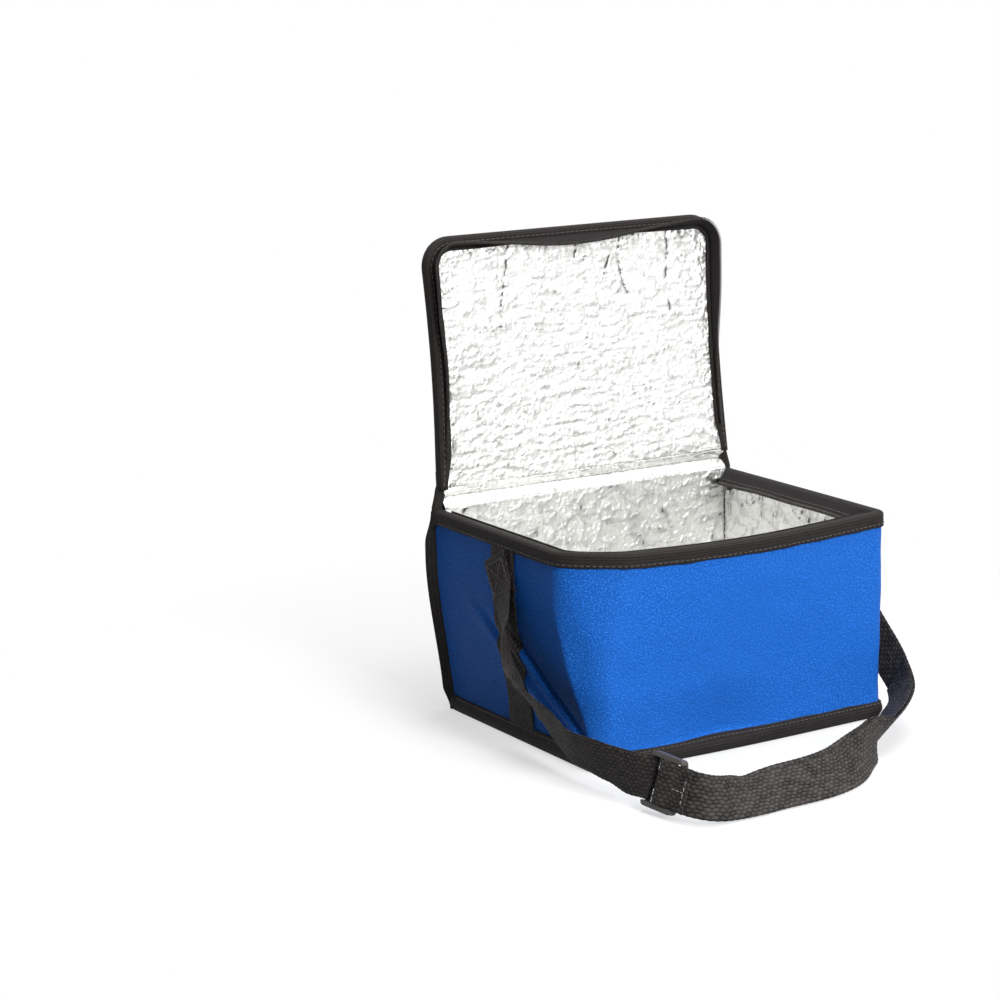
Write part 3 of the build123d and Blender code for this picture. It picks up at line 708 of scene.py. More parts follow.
def on_strip(u, v, out):
    """Strip lengths to a point: u from -1 to 1 across, v from the base's front edge to the back
    and up it, out from the cloth. A quarter circle joins base and back; near the front the
    strip's sides follow the wall's round corners."""
    u, v, out = np.broadcast_arrays(u, v, out)
    turn = np.clip((v - base_run) / fold_run, 0, 1) * math.pi / 2
    y = front_y + np.minimum(v, base_run) + FOLD_RADIUS * np.sin(turn)
    z = FOLD_RADIUS * (1 - np.cos(turn)) + np.maximum(v - base_run - fold_run, 0)
    left, right = (
        radius - np.sqrt(radius**2 - np.clip(front_y + radius - y, 0, radius) ** 2)
        for radius in (LEFT_RADIUS, RIGHT_RADIUS)
    )
    x = u * half_width + (1 - u) / 2 * left - (1 + u) / 2 * right
    rise = np.sin(np.pi * np.clip((v - base_run - fold_run) / back_run, 0, 1))
    belly = BACK_BELLY * rise * np.cos(np.pi / 2 * u)
    waves = 0.5 * MM * noise(x / (40 * MM), z / (32 * MM), 11) * rise
    return settle(x, y + (out + belly + waves) * np.sin(turn), z - out * np.cos(turn))


strip_columns = np.linspace(-1, 1, 131)
u, v = np.meshgrid(strip_columns, even(0, strip_run, 2.2 * MM))
lengths = (u * half_width, v)
sheet("cover_base_and_back", on_strip(u, v, 0.0), lengths, blue_cloth, "bag", "back_base_cover", True, COVER)


# %% Lid cloth
def lid_span(b, inset):
    """Half the lid's width at a distance from the hinge: its two free corners are quarter circles."""
    radius = LID_CORNER - inset
    past = np.clip(b - (lid_length - LID_CORNER), 0, radius)
    return lid_half - inset - radius + np.sqrt(radius**2 - past**2)


def lid_grid(inset, step):
    """Lengths across and along for a sheet over the whole lid, its sides following the outline."""
    columns = np.linspace(-1, 1, int(2 * lid_half / step))
    share, along = np.meshgrid(columns, even(HINGE_REACH, lid_length - inset, step))
    return share * lid_span(along, inset), along


share, b = np.meshgrid(strip_columns, even(HINGE_REACH, lid_length - 1 * MM, 2.2 * MM))
lengths = (share * half_width, strip_run + HINGE_REACH + b)
points = on_lid(share * lid_span(b, 0.0), b, 0.0)
sheet("cover_lid", points, lengths, blue_cloth, "lid", "lid_cover", True, COVER)

# %% Hinge cloth
# Each line of it is a curve from the back's top edge, past the hinge line, to the lid's cloth.
low_edge = on_strip(strip_columns, strip_run, 0.0)
high_edge = on_lid(strip_columns * lid_span(HINGE_REACH, 0.0), HINGE_REACH, 0.0)
middle = (low_edge + high_edge) / 2
middle[:, 1:] = hinge_y, hinge_z
share = np.linspace(0, 1, 9)[:, None, None]
hinge_points = (1 - share) ** 2 * low_edge + 2 * share * (1 - share) * middle + share**2 * high_edge
lengths = (strip_columns * half_width, strip_run + 2 * HINGE_REACH * share[..., 0])
cover_hinge = sheet("cover_hinge", hinge_points, lengths, blue_cloth, flip=True, thickness=COVER)
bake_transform(cover_hinge)

# %% [markdown]
# ## The foam
# Foam sheets fill the wall, back, base and lid. They are hidden, so plain slabs do, but they
# follow the swelling of the cloth.

# %% Foam slabs
FOAM = 3.6 * MM
foam_out = -cloth - 0.4 * MM
s, z = np.meshgrid(even(0, wall_run, 2 * MM), even(6 * MM, rim_top - 3 * MM, 2 * MM))
sheet("foam_wall", on_wall(s, z, foam_out), (s, z), foam_skin, "bag", "wall_foam", thickness=FOAM)
for part, low, high in (("base", 6 * MM, base_run), ("back", back_start, strip_run - 5 * MM)):
    u, v = np.meshgrid(np.linspace(-0.95, 0.95, 40), even(low, high, 6 * MM))
    lengths = (u * half_width, v)
    sheet(f"foam_{part}", on_strip(u, v, foam_out), lengths, foam_skin, "bag", f"{part}_foam", True, FOAM)
a, b = lid_grid(4 * MM, 6 * MM)
sheet("foam_lid", on_lid(a, b, -foam_out), (a, strip_run + b), foam_skin, "lid", "lid_foam", True, FOAM)

# %% [markdown]
# ## The foil lining
# The film is glued to the foam here and there and crushed everywhere else. A crush is noise
# folded at zero, which turns soft waves into sharp ridges. In the lid the ridges run from side
# to side, since the lid bends that way each time it opens. Under the zip the film is gathered.


# %% Crushed film
PIT_WIDTH, PIT_DEPTH = 0.9 * MM, 0.6 * MM


def crumple(u, v, seed, grain):
    """Heights from about 0 to 1, and how sharply each place is creased, which sets the painted
    shade in its folds. Ridges in two sizes are added to broad waves; `grain` is the size of the
    larger ridges along u and v."""
    drift = 1.5 * noise(u / (24 * MM), v / (24 * MM), seed + 1)
    ridge = ridges(u / grain[0] + 0.3 * drift, v / grain[1] + drift, seed + 2)
    small = ridges(u / (5.2 * MM) + drift, v / (3.1 * MM), seed + 3)
    broad = 0.5 + 0.5 * noise(u / (42 * MM), v / (30 * MM), seed + 4)
    height = 0.42 * ridge**3 + 0.25 * small**2 + 0.33 * broad
    patches = ease(noise(u / (9 * MM), v / (6 * MM), seed + 5), 0.25, 0.7)
    sharp = 0.8 * ease(small * ridge, 0.86, 0.97) * patches
    return height, sharp + 0.26 * ease(ridge, 0.72, 0.98) + 0.18 * ease(small, 0.8, 1)


def pit(u, v, line, seed):
    """How close a place is to a creased line drawn through a few points: 1 on it, falling as a bell
    curve to 0 beyond its width, broken into dashes by noise along it. It is used both for the
    pit's depth and for the painted shade in it."""
    near = np.zeros(np.broadcast(u, v).shape)
    for (u0, v0), (u1, v1) in zip(line[:-1], line[1:]):
        du, dv = u1 - u0, v1 - v0
        share = np.clip(((u - u0) * du + (v - v0) * dv) / (du * du + dv * dv), 0, 1)
        gap = np.hypot(u - u0 - share * du, v - v0 - share * dv)
        near = np.maximum(near, np.exp(-((gap / PIT_WIDTH) ** 2)))
    return near * ease(noise(u / (3 * MM), v / (2.4 * MM), 40 + seed), -0.45, 0.1)


# %% Lid foil
# The creases at the free edge are where the film was pulled tight over the sewn corner. They are
# given in millimetres, across from the middle and up from the hinge.
LID_CREASES = (
    ((-52, 165), (-57, 140), (-62, 118), (-58, 106)),
    ((38, 166), (35, 150), (38, 132), (44, 120)),
    ((30, 152), (20, 130)),
    ((75, 168), (77, 150), (75, 128), (79, 104)),
    ((2, 160), (0, 150)),
)
LID_PAINTED_SHADE = 0.06              # painted shade: the lid's whole film is tinted a little darker than the rest
FOIL_INSET = 3 * MM


def lid_film(a, b):
    """Height of the lid's film off its cloth, and its crease values for painted shade, with a
    little painted shade over the whole lid; deeper crushing, and more painted shade, towards the
    bound edge."""
    height, crease = crumple(a, b, 20, grain=(15 * MM, 2.6 * MM))
    edge = np.minimum(lid_half - np.abs(a), lid_length - b)
    gathered = 1 - ease(edge, 7 * MM, 20 * MM)
    rough = ridges(a / (3.2 * MM), b / (3.0 * MM), 27)
    # painted shade in the gathered creases near the bound edge
    crease = crease + 0.75 * gathered * ease(rough, 0.86, 0.97)
    depth = 1.25 * MM * height + 0.5 * MM * gathered * rough
    for index, line in enumerate(LID_CREASES):
        near = pit(a, b, np.array(line) * MM, index)
        depth = depth - PIT_DEPTH * near
        crease = crease + near
    # painted shade: every place on the lid's film gets a little more of the dark tint
    return foil_depth + depth, crease + LID_PAINTED_SHADE


a, b = lid_grid(FOIL_INSET, 1.15 * MM)
height, crease = lid_film(a, b)
lengths = (a, strip_run + b)
sheet("foil_lid", on_lid(a, b, height), lengths, silver_film, "lid", "lid_liner", False, FILM, crease)

# %% Wall foil
s, z = np.meshgrid(even(0.5 * MM, wall_run - 0.5 * MM, 1.35 * MM), even(5.5 * MM, rim_top - 3 * MM, 1.3 * MM))
height, crease = crumple(s, z, 50, grain=(8 * MM, 6 * MM))
gathers = ease(z, rim_top - 45 * MM, rim_top - 14 * MM)
puckers = ridges(s / (2.6 * MM), z / (22 * MM), 55)
depth = 1.1 * MM * height + 1.1 * MM * gathers * puckers**2
sharp_patches = ease(noise(s / (7 * MM), z / (5 * MM), 56), -0.1, 0.4)
# painted shade in the sharp puckers where the film gathers under the rim
crease = crease + 0.8 * gathers * ease(puckers, 0.88, 0.98) * sharp_patches
points = on_wall(s, z, -foil_depth - depth)
sheet("foil_wall", points, (s, z), silver_film, "bag", "wall_liner", True, FILM, crease)

# %% Base and back foil
# One sheet with a soft fold where the back rises from the base.
foil_columns = np.linspace(-1, 1, 190)
u, v = np.meshgrid(foil_columns, even(6 * MM, strip_run, 1.35 * MM))
height, crease = crumple(u * half_width, v, 70, grain=(13 * MM, 5 * MM))
near_hinge = ease(v, strip_run - 34 * MM, strip_run - 8 * MM)
pinched = ease(np.abs(u) * half_width, half_width - 34 * MM, half_width - 8 * MM) * near_hinge
furrows = ridges(u * half_width / (14 * MM), v / (2.4 * MM), 76)
# painted shade in the furrows pinched into the corners near the hinge
crease = crease + 0.9 * pinched * ease(furrows, 0.8, 0.95)
depth = 1.1 * MM * height + 0.8 * MM * pinched * furrows
narrow = (half_width - foil_depth - 0.4 * MM) / half_width
points = on_strip(u * narrow, v, -foil_depth - depth)
lengths = (u * half_width, v)
sheet("foil_base_and_back", points, lengths, silver_film, "bag", "back_base_liner", False, FILM, crease)

# %% Hinge foil
# Between back and lid there is no foam: the film is sewn down to the hinge line, in a groove.
GROOVE_DEPTH = 1.2 * MM
low_edge = points[-1]
lid_across = foil_columns * (lid_half - FOIL_INSET)
film_height, _ = lid_film(lid_across, np.full_like(lid_across, HINGE_REACH))
high_edge = on_lid(lid_across, HINGE_REACH, film_height)
share = np.linspace(0, 1, 21)[:, None]
from_middle = np.abs(1 - 2 * share)
groove = np.stack(np.broadcast_arrays(low_edge[:, 0], hinge_y - GROOVE_DEPTH, hinge_z), -1)
line = np.where(share[..., None] < 0.5, low_edge, high_edge)
to_groove = (from_middle**1.4)[..., None]
points = groove + (line - groove) * to_groove
furrows = ridges(foil_columns * half_width / (12 * MM), share * 5, 81)
small = ridges(foil_columns * half_width / (4 * MM), share * 9, 82)
ripple = (2.4 * MM * (furrows - 0.5) + 1.2 * MM * (small - 0.5))[..., None]
points = points + 1.6 * (1 - to_groove) * to_groove * ripple * np.array([0.0, -1.0, 0.0])
# painted shade in the hinge groove and in the sharp furrows of the film
crease = 0.55 * ease(furrows * small, 0.7, 0.95) + 0.6 * (1 - ease(from_middle, 0.0, 0.22))
lengths = (foil_columns * half_width, strip_run + 2 * HINGE_REACH * share)
foil_hinge = sheet("foil_hinge", points, lengths, silver_film, thickness=FILM, crease=crease)
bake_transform(foil_hinge)

# %% [markdown]
# ## Bindings
# Grosgrain tape folded over an edge hides the raw layers. Its section is two legs joined by
# half an ellipse; that section is carried along the edge. Each tape is sewn through both legs,
# so a row of stitches runs near the edge of the outer leg, and the tape puckers between them.

# %% Tape section
rim_leg = rim_top - rim_low.z - 2.2 * MM    # the real tape is drawn up by its stitches
inner_leg = 8 * MM
rim_span = tape_out + foil_depth + 0.5 * MM + tape_out
FOLD_CROWN = 2.6 * MM
TAPE_STEP = 2.5 * MM


def fold_section(outer, inner):
    """Section of a folded tape: offset from the outer leg, depth below the crown, and the length
    along the tape's width. Legs are straight; the fold is half an ellipse."""
    turn = np.linspace(0, math.pi, 13)
    offset = np.concatenate((np.zeros(5), rim_span / 2 * (1 - np.cos(turn)), np.full(4, rim_span)))
    legs = np.linspace(outer, FOLD_CROWN, 6)[:5], np.linspace(FOLD_CROWN, inner, 5)[1:]
    depth = np.concatenate((legs[0], FOLD_CROWN * (1 - np.sin(turn)), legs[1]))
    return offset, depth, run_along(np.stack((offset, depth), -1))


def tape_waves(s, offset, depth, seed):
    """Noise for a sewn tape: how far it puckers off its face, away from the layers inside, and
    how far it wanders across its width, most at the edge of the outer leg."""
    pucker = 0.35 * MM * noise(s / (7 * MM), depth / (9 * MM), seed) * ease(depth, 2 * MM, rim_leg)
    wander = 0.5 * MM * noise(s / (16 * MM), offset / rim_span * 3, seed + 1) * depth / rim_leg
    return pucker * np.where(offset < rim_span / 2, 1, -1), wander


# %% Rim binding
offset, depth, width = fold_section(rim_leg, inner_leg)
wall_steps = even(-past_end, wall_run + past_end, TAPE_STEP)[:, None]
pucker, wander = tape_waves(wall_steps, offset, depth, 90)
points = on_wall(wall_steps, rim_top - (depth + wander), tape_out - offset + pucker)
lengths = (wall_steps, width)
sheet("rim_binding_tape", points, lengths, grosgrain, "bag", "rim_binding", True, TAPE_THICKNESS)

# %% Lid binding
binding_start = up_lid(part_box("lid_binding")[0].z)
TAPE_START = 5 * MM          # the tape runs on to the hinge and narrows there


def narrowing(s):
    """The share of its width that the lid's tape has: less towards its two ends at the hinge."""
    return 0.6 + 0.4 * ease(np.minimum(s, lid_run - s), TAPE_START, 30 * MM)


offset, depth, width = fold_section(rim_leg + tape_out, inner_leg + tape_out)
s = even(TAPE_START, lid_run - TAPE_START, TAPE_STEP)[:, None]
pucker, wander = tape_waves(s, offset, depth, 92)
points = on_lid_edge(s, (depth - tape_out) * narrowing(s) + wander, -tape_out + offset - pucker)
sheet("lid_binding_tape", points, (s, width), grosgrain, "lid", "lid_binding", False, TAPE_THICKNESS)

# %% Base binding
# The layers' raw edge turns down and out at the base; its tape is a fat rounded bead.
BEAD_GAP, BEAD_FOOT = 0.4 * MM, 0.35 * MM
base_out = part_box("base_binding")[1].x - half_width
turn = np.linspace(0, 1, 15)
bulge = np.sin(math.pi * np.clip(turn * 1.05, 0, 1)) ** 0.75
bead_out = BEAD_GAP + (base_out - BEAD_GAP) * bulge * (0.75 + 0.25 * turn)
bead_up = base_edge_top * (1 - turn) ** 0.9 + BEAD_FOOT
width = run_along(np.stack((bead_out, bead_up), -1))
out = bead_out + 0.35 * MM * noise(wall_steps / (9 * MM), turn * 3, 94) * bulge
up = bead_up + 0.5 * MM * noise(wall_steps / (18 * MM), turn * 0, 95) * (1 - turn)
points, lengths = on_wall(wall_steps, up, out), (wall_steps, width)
sheet("base_binding_tape", points, lengths, grosgrain, "bag", "base_binding", thickness=TAPE_THICKNESS)


# %% Corner bindings
# At each back corner the wall and the back are seamed edge to edge. The seam stands out at 45
# degrees and its tape wraps it: a flat tube, round at its outer edge, a little wavy.
def corner_tape(name, side):
    """Tube up a back corner: its section is a slot 3.6 mm thick that starts inside the corner. It
    narrows at both ends, where the other bindings cross it."""
    low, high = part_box(f"back_binding_{name}")
    reach = (high.y - low.y) * math.sqrt(2) - 3 * MM
    ring = np.linspace(0, 2 * math.pi, 24, endpoint=False)
    up = even(low.z, high.z, TAPE_STEP)[:, None]
    full = 0.3 + 0.7 * ease(up, low.z, low.z + 16 * MM) * (1 - ease(up, high.z - 22 * MM, high.z))
    deep = (np.clip(1.5 * np.cos(ring), -1, 1) * 0.5 + 0.5) * (1 + 0.3 * full) * 0.8 - 0.35
    thick = 1.8 * MM * np.sin(ring) / np.maximum(np.abs(np.sin(ring)), np.abs(np.cos(ring)) * 0.9)
    fold = 0.7 * MM * noise(up / (22 * MM), 0 * deep, 96 + side) * np.maximum(deep, 0)
    deep = np.where(deep > 0, deep * full, deep)
    x = side * (half_width + (deep * reach + thick + fold) / math.sqrt(2))
    y = back_y + (deep * reach - thick - fold) / math.sqrt(2)
    lengths = (up, 14 * MM * np.abs(ring / math.pi - 1))
    points = settle(*np.broadcast_arrays(x, y, up))
    tube(f"back_corner_tape_{name}", points, lengths, grosgrain, "bag", f"back_binding_{name}", side > 0)


SIDES = (("left", -1), ("right", 1))
for name, side in SIDES:
    corner_tape(name, side)


# %% Hinge corners
# The ends of the hinge cloth are bound too: the lid's tape runs down over the corner into the
# rim's. That short bend of tape is one pinched tube that turns between the two bodies.
def hinge_corner(name, side):
    """A tube along the hinge cloth's end, from below the rim's top to the lid's tape."""
    below = on_strip(side, strip_run - np.array([14, 11, 8, 5, 2]) * MM, 0.0)
    above = on_lid(side * (lid_half - 1 * MM), HINGE_REACH + np.array([2, 5, 8, 11]) * MM, 0.0)
    path = np.concatenate((below, hinge_points[:, 0 if side < 0 else -1], above))
    inward = unit(np.cross((1.0, 0.0, 0.0), unit(np.gradient(path, axis=0))))
    ring = np.linspace(0, 2 * math.pi, 20, endpoint=False)
    share = np.linspace(-1, 1, len(path))[:, None]
    across = -side * (2.4 - (4.0 + 0.6 * share**2) * np.cos(ring)) * MM
    off = (1.2 + (2.7 + 0.4 * share**2) * np.sin(ring)) * MM
    points = path[:, None] + across[..., None] * np.array([1.0, 0.0, 0.0]) + off[..., None] * inward[:, None]
    lengths = (run_along(path)[:, None], 3.4 * MM * np.abs(ring - math.pi))
    corner = tube(f"hinge_corner_tape_{name}", points, lengths, grosgrain, flip=side > 0)
    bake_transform(corner)


for name, side in SIDES:
    hinge_corner(name, side)

# %% [markdown]
# ## The zip
# Each half is a knitted tape with a coil along one edge: a single nylon thread wound into a flat
# helix and sewn down. The body's half hangs inside the rim. The lid's half stands off its
# binding, and its free edge waves, since nothing holds it while the bag is open.

# %% Coils
COIL_PITCH, COIL_THREAD = 1.6 * MM, 0.36 * MM    # the thread's radius
TURN_STEPS, THREAD_SIDES = 12, 6
COIL_HALF_OFF = 1.1 * MM
ZIP_TAPE = 0.5 * MM
ZIP_STEP = 2.0 * MM


def coil(name, path, across, off, half_across, body, node):
    """A helix round a path: each turn is an ellipse in the two given directions, and the thread
    is a round tube about the helix."""
    run = run_along(path)
    count = int(run[-1] / COIL_PITCH) * TURN_STEPS
    at = np.linspace(0, run[-1], count)
    centre, across, off = (points_at(at, run, line) for line in (path, across, off))
    turn = (at / COIL_PITCH * 2 * math.pi)[:, None]
    line = centre + across * (half_across - COIL_THREAD) * np.cos(turn)
    line = line + off * (COIL_HALF_OFF - COIL_THREAD) * np.sin(turn)
    tangent = unit(np.gradient(line, axis=0))
    side = unit(np.cross(tangent, unit(np.gradient(centre, axis=0))))
    ring = np.linspace(0, 2 * math.pi, THREAD_SIDES, endpoint=False)[None, :, None]
    other = np.cross(tangent, side)
    points = line[:, None] + COIL_THREAD * (np.cos(ring) * side[:, None] + np.sin(ring) * other[:, None])
    tube(name, points, (at[:, None], COIL_THREAD * ring[..., 0]), nylon_coil, body, node)


# %% Body half
tape_low, tape_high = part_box("zip_tape_body")
coil_low, coil_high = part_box("zip_coil_body")
tape_in = half_width - tape_high.x
tape_drop = tape_high.z - tape_low.z
coil_half_across = (coil_high.z - coil_low.z) / 2
SLIDER_TRAVEL_END = 140 * MM  # the left side's tape stays straight where the slider runs


def on_body_zip(s, hang, off=0.0):
    """A place on the body's tape: how far down its width it lies, and off its face. The tape hangs
    straight where the slider runs, and stands ever further into the bag past it."""
    free = ease(s, SLIDER_TRAVEL_END, SLIDER_TRAVEL_END + 40 * MM)
    turned_in = 0.15 + 0.75 * ease(s, right_corner, right_corner + 25 * MM)
    lean = free * (turned_in + 0.08 * noise(s / (35 * MM), 0 * s, 97))
    out = tape_in + ZIP_TAPE + hang * np.sin(lean) + off * np.cos(lean)
    return on_wall(s, tape_high.z - hang * np.cos(lean) + off * np.sin(lean), -out)


zip_start = side_end_y - tape_high.y
s = even(zip_start, wall_run - zip_start, ZIP_STEP)[:, None]
share = np.linspace(0, 1, 9)
points, lengths = on_body_zip(s, share * tape_drop), (s, share * tape_drop)
sheet("zip_tape_of_body", points, lengths, zip_cloth, "bag", "zip_tape_body", True, ZIP_TAPE)
coil_start = side_end_y - coil_high.y
s = even(coil_start, wall_run - coil_start, ZIP_STEP)
coil_hang = tape_high.z - (coil_low.z + coil_high.z) / 2
coil_off = coil_low.x + half_width - tape_in - ZIP_TAPE + COIL_HALF_OFF
path = on_body_zip(s, coil_hang, coil_off)
off = unit(on_body_zip(s, coil_hang, coil_off + 1 * MM) - path)
up = unit(on_body_zip(s, coil_hang - 1 * MM, coil_off) - path)
coil("zip_coil_of_body", path, up, off, coil_half_across, "bag", "zip_coil_body")

# %% Lid half
lid_zip_start = up_lid(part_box("zip_tape_lid")[0].z) - 1 * MM
ZIP_INSET = 5.5 * MM
ZIP_DROOP = 9 * MM           # how far the free edge hangs inwards at mid span
LOWERED = 3.5 * MM           # and how far it comes down there
LID_TAPE_WIDTH = 13 * MM
zip_root = rim_span - tape_out + 0.2 * MM


def lid_zip_edge(s):
    """The free edge: how far it stands off the binding, its own inset, and its droop. It rises from
    the hinge to the free edge of the lid, droops inwards at mid span, and stands out at the corners."""
    from_hinge = np.minimum(s, lid_run - s)
    rise = (2 + 7.5 * ease(from_hinge, lid_zip_start, lid_length - 10 * MM)) * MM
    middle = np.clip((s - lid_length) / (2 * lid_half), 0, 1)
    droop = np.sin(math.pi * np.clip((middle - 0.06) / 0.84, 0, 1)) ** 1.6
    wave = 0.8 * MM * noise(s / (30 * MM), 0 * s, 98)
    inset = ZIP_INSET - 2.5 * MM * ease(rise, 4 * MM, 8 * MM) + ZIP_DROOP * droop + wave
    return rise - LOWERED * droop, inset


s = even(lid_zip_start, lid_run - lid_zip_start, ZIP_STEP)
edge_rise, edge_inset = lid_zip_edge(s[:, None])
inset = ZIP_INSET + (edge_inset - ZIP_INSET) * share**1.2
points = on_lid_edge(s[:, None], inset, zip_root + edge_rise * np.sin(share * math.pi / 2))
lengths = (s[:, None], share * LID_TAPE_WIDTH)
sheet("zip_tape_of_lid", points, lengths, zip_cloth, "lid", "zip_tape_lid", True, ZIP_TAPE)
edge_rise, edge_inset = lid_zip_edge(s)
edge = on_lid_edge(s, edge_inset, zip_root + edge_rise)
across = unit(edge - on_lid_edge(s, ZIP_INSET, zip_root))
off = unit(np.cross(across, np.gradient(edge, axis=0)))
path = edge - across * coil_half_across * 0.4 + off * COIL_HALF_OFF
coil("zip_coil_of_lid", path, across, off, coil_half_across, "lid", "zip_coil_lid")

# %% [markdown]
# ## The strap
# Webbing is woven flat and stays flat across its width, so it is a ribbon that follows one
# smooth line and leans as it lies. Its nubs are bumps on a staggered grid. Two layers lie
# together in front: the strap and its own free tail, which has come away from it a little.

# %% A smooth line through chosen points
patch_low, patch_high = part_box("strap_patch_right")
WEBBING_WIDTH = patch_high.y - patch_low.y
STEP = NUB_ALONG / 5


def evenly(line, step=STEP):
    """The same line with its points `step` apart along it."""
    run = run_along(line)
    return points_at(even(0, run[-1], step), run, line)


def through(knots, first, last):
    """A curve through every knot with given end directions. Its slopes at the knots are solved so
    that the curvature is continuous; between knots it is a cubic."""
    knots = np.array([list(knot) for knot in knots], float) * MM
    gap = np.linalg.norm(np.diff(knots, axis=0), axis=1)
    rise = np.diff(knots, axis=0) / gap[:, None]
    count = len(knots)
    matrix, target = np.eye(count), np.zeros((count, 3))
    target[0], target[-1] = unit(np.array(first)), unit(np.array(last))
    for k in range(1, count - 1):
        matrix[k, k - 1 : k + 2] = 1 / gap[k - 1], 2 / gap[k - 1] + 2 / gap[k], 1 / gap[k]
        target[k] = 3 * (rise[k - 1] / gap[k - 1] + rise[k] / gap[k])
    slope = np.linalg.solve(matrix, target)
    at = np.linspace(0, count - 1, 400 * count)
    k = np.minimum(at.astype(int), count - 2)
    t, span = (at - k)[:, None], gap[k][:, None]
    line = (1 + 2 * t) * (1 - t) ** 2 * knots[k] + t * (1 - t) ** 2 * span * slope[k]
    return evenly(line + t * t * (3 - 2 * t) * knots[k + 1] + t * t * (t - 1) * span * slope[k + 1])


def facing(line, lean=0.0):
    """The direction that a ribbon's outer face looks along a line: level and away from the bag,
    turned up by the lean in degrees."""
    tangent = unit(np.gradient(line, axis=0))
    level = unit(np.stack((tangent[:, 1], -tangent[:, 0], 0 * tangent[:, 0]), -1))
    turned = np.radians(np.broadcast_to(lean, len(line)))[:, None]
    return level * np.cos(turned) + np.cross(level, tangent) * np.sin(turned)


# %% Webbing
NUB_HEIGHT = 0.36 * MM
EDGE_WAVE = 0.008            # share of the width by which the edge waves with every nub


def ribbon_section(along, thickness):
    """Round a ribbon's section: distance across from the middle, and signed height of the face.
    Each nub is a half ellipsoid, as long as its place in the row; the edges are thin and round."""
    half = np.linspace(-1, 1, 72)
    q, side = np.concatenate((half, half[::-1])), np.repeat((1, -1), 72)
    across = q * WEBBING_WIDTH / 2
    in_rows = across / NUB_ACROSS + ROW_WAVER * np.sin(2 * np.pi * along / WAVER_PITCH)
    row = np.round(in_rows)
    in_row = along / NUB_ALONG + 0.5 * row
    from_top = np.hypot(in_row - np.round(in_row), in_rows - row)
    nubs = np.sqrt(np.maximum(0, 1 - (2 * from_top) ** 2))
    edge = np.sqrt(np.maximum(1 - np.abs(q) ** 14, 0.03))
    return across, side * (thickness / 2 + NUB_HEIGHT * nubs) * edge


def webbing(name, line, outward, body, node=None, thickness=0.8 * MM):
    """A ribbon round a line, its outer face looking `outward`."""
    outward = unit(np.broadcast_to(outward, line.shape))
    widthward = np.cross(unit(np.gradient(line, axis=0)), outward)
    along = run_along(line)[:, None]
    across, height = ribbon_section(along, thickness)
    ragged = 1 + EDGE_WAVE * np.cos(2 * np.pi * along / NUB_ALONG)
    points = line[:, None] + widthward[:, None] * (across * ragged)[..., None]
    points = points + outward[:, None] * height[..., None]
    print(name, "length mm:", round(float(along[-1, 0]) / MM))
    tube(name, points, (along, across), webbing_cloth, body, node)


# %% Strap route
# Down from the left pivot, straight through the adjuster, round in front and up to the right
# pivot. The points are shares of the bag's half width, of the loop's reach and of the pivots'
# height, as in the solids; lengths are millimetres.
LAYER = 1.5
END = 14                     # half the length of each sewn end
SEWN_GAP, TURNED_END = 0.3, 1.3
RUN, STATION, RUN_LEAN = 98, 78.5, 17    # the straight run, the adjuster's place on it, and its lean
RUN_START = (-9, -7, 24.5)   # from the bag's left front edge at the floor
LOOP_AHEAD = 115
adjuster_joint = next(joint for joint in frame["joints"] if joint["child"] == "adjuster")
strap_joint = next(joint for joint in frame["joints"] if joint["child"] == "strap")
heading = np.array(adjuster_joint["axis"])
pivot_z = strap_joint["pos_m"][2] / MM
strap_x = patch_high.x / MM + SEWN_GAP + TURNED_END + TURNED_END / 2
half_w, front = half_width / MM, front_y / MM
loop_reach = LOOP_AHEAD - front
run_start = np.array([-half_w, front, 0]) + RUN_START
run_end = run_start + RUN * heading
left_pivot, right_pivot = np.array([-strap_x - LAYER, 0, pivot_z]), np.array([strap_x, 0, pivot_z])
down, up = unit(np.array([0, -0.45, -0.89])), unit(np.array([0, 0.68, 0.73]))
ENDS = (("left", left_pivot, -down, -1), ("right", right_pivot, up, 1))
FALL = ((-1.045, 0.143, 0.536), (-1.06, 0.315, 0.304))
LOOP = (
    (-0.904, 0.989, 0.155),
    (-0.824, 1.006, 0.143),
    (-0.717, 0.998, 0.129),
    (-0.458, 0.975, 0.116),
    (-0.108, 0.966, 0.108),
    (0.133, 0.916, 0.108),
    (0.35, 0.842, 0.118),
    (0.6, 0.724, 0.134),
    (0.842, 0.621, 0.161),
    (1.025, 0.502, 0.228),
    (1.083, 0.35, 0.402),
    (1.058, 0.187, 0.679),
)


def on_route(shares):
    """Points of the strap's middle line from their shares."""
    return [(across * half_w, -ahead * loop_reach, height * pivot_z) for across, ahead, height in shares]


drop = evenly(np.array([left_pivot - END * down, left_pivot]) * MM)
fall = through((left_pivot, *on_route(FALL), run_start), down, heading)
straight = evenly(np.array([run_start, run_end]) * MM)
loop = through((run_end, *on_route(LOOP), right_pivot), heading, up)
climb = evenly(np.array([right_pivot, right_pivot + END * up]) * MM)
along_fall, along_run, along_loop = (np.linspace(0, 1, len(line)) for line in (fall, straight, loop))


# %% Strap leans
def between(at, places, values):
    """Values joined by S-curves: each is reached at its own place."""
    places, values = np.array(places, float), np.array(values, float)
    k = np.clip(np.searchsorted(places, at, side="right") - 1, 0, len(places) - 2)
    t = (at - places[k]) / (places[k + 1] - places[k])
    return values[k] + (values[k + 1] - values[k]) * t * t * (3 - 2 * t)


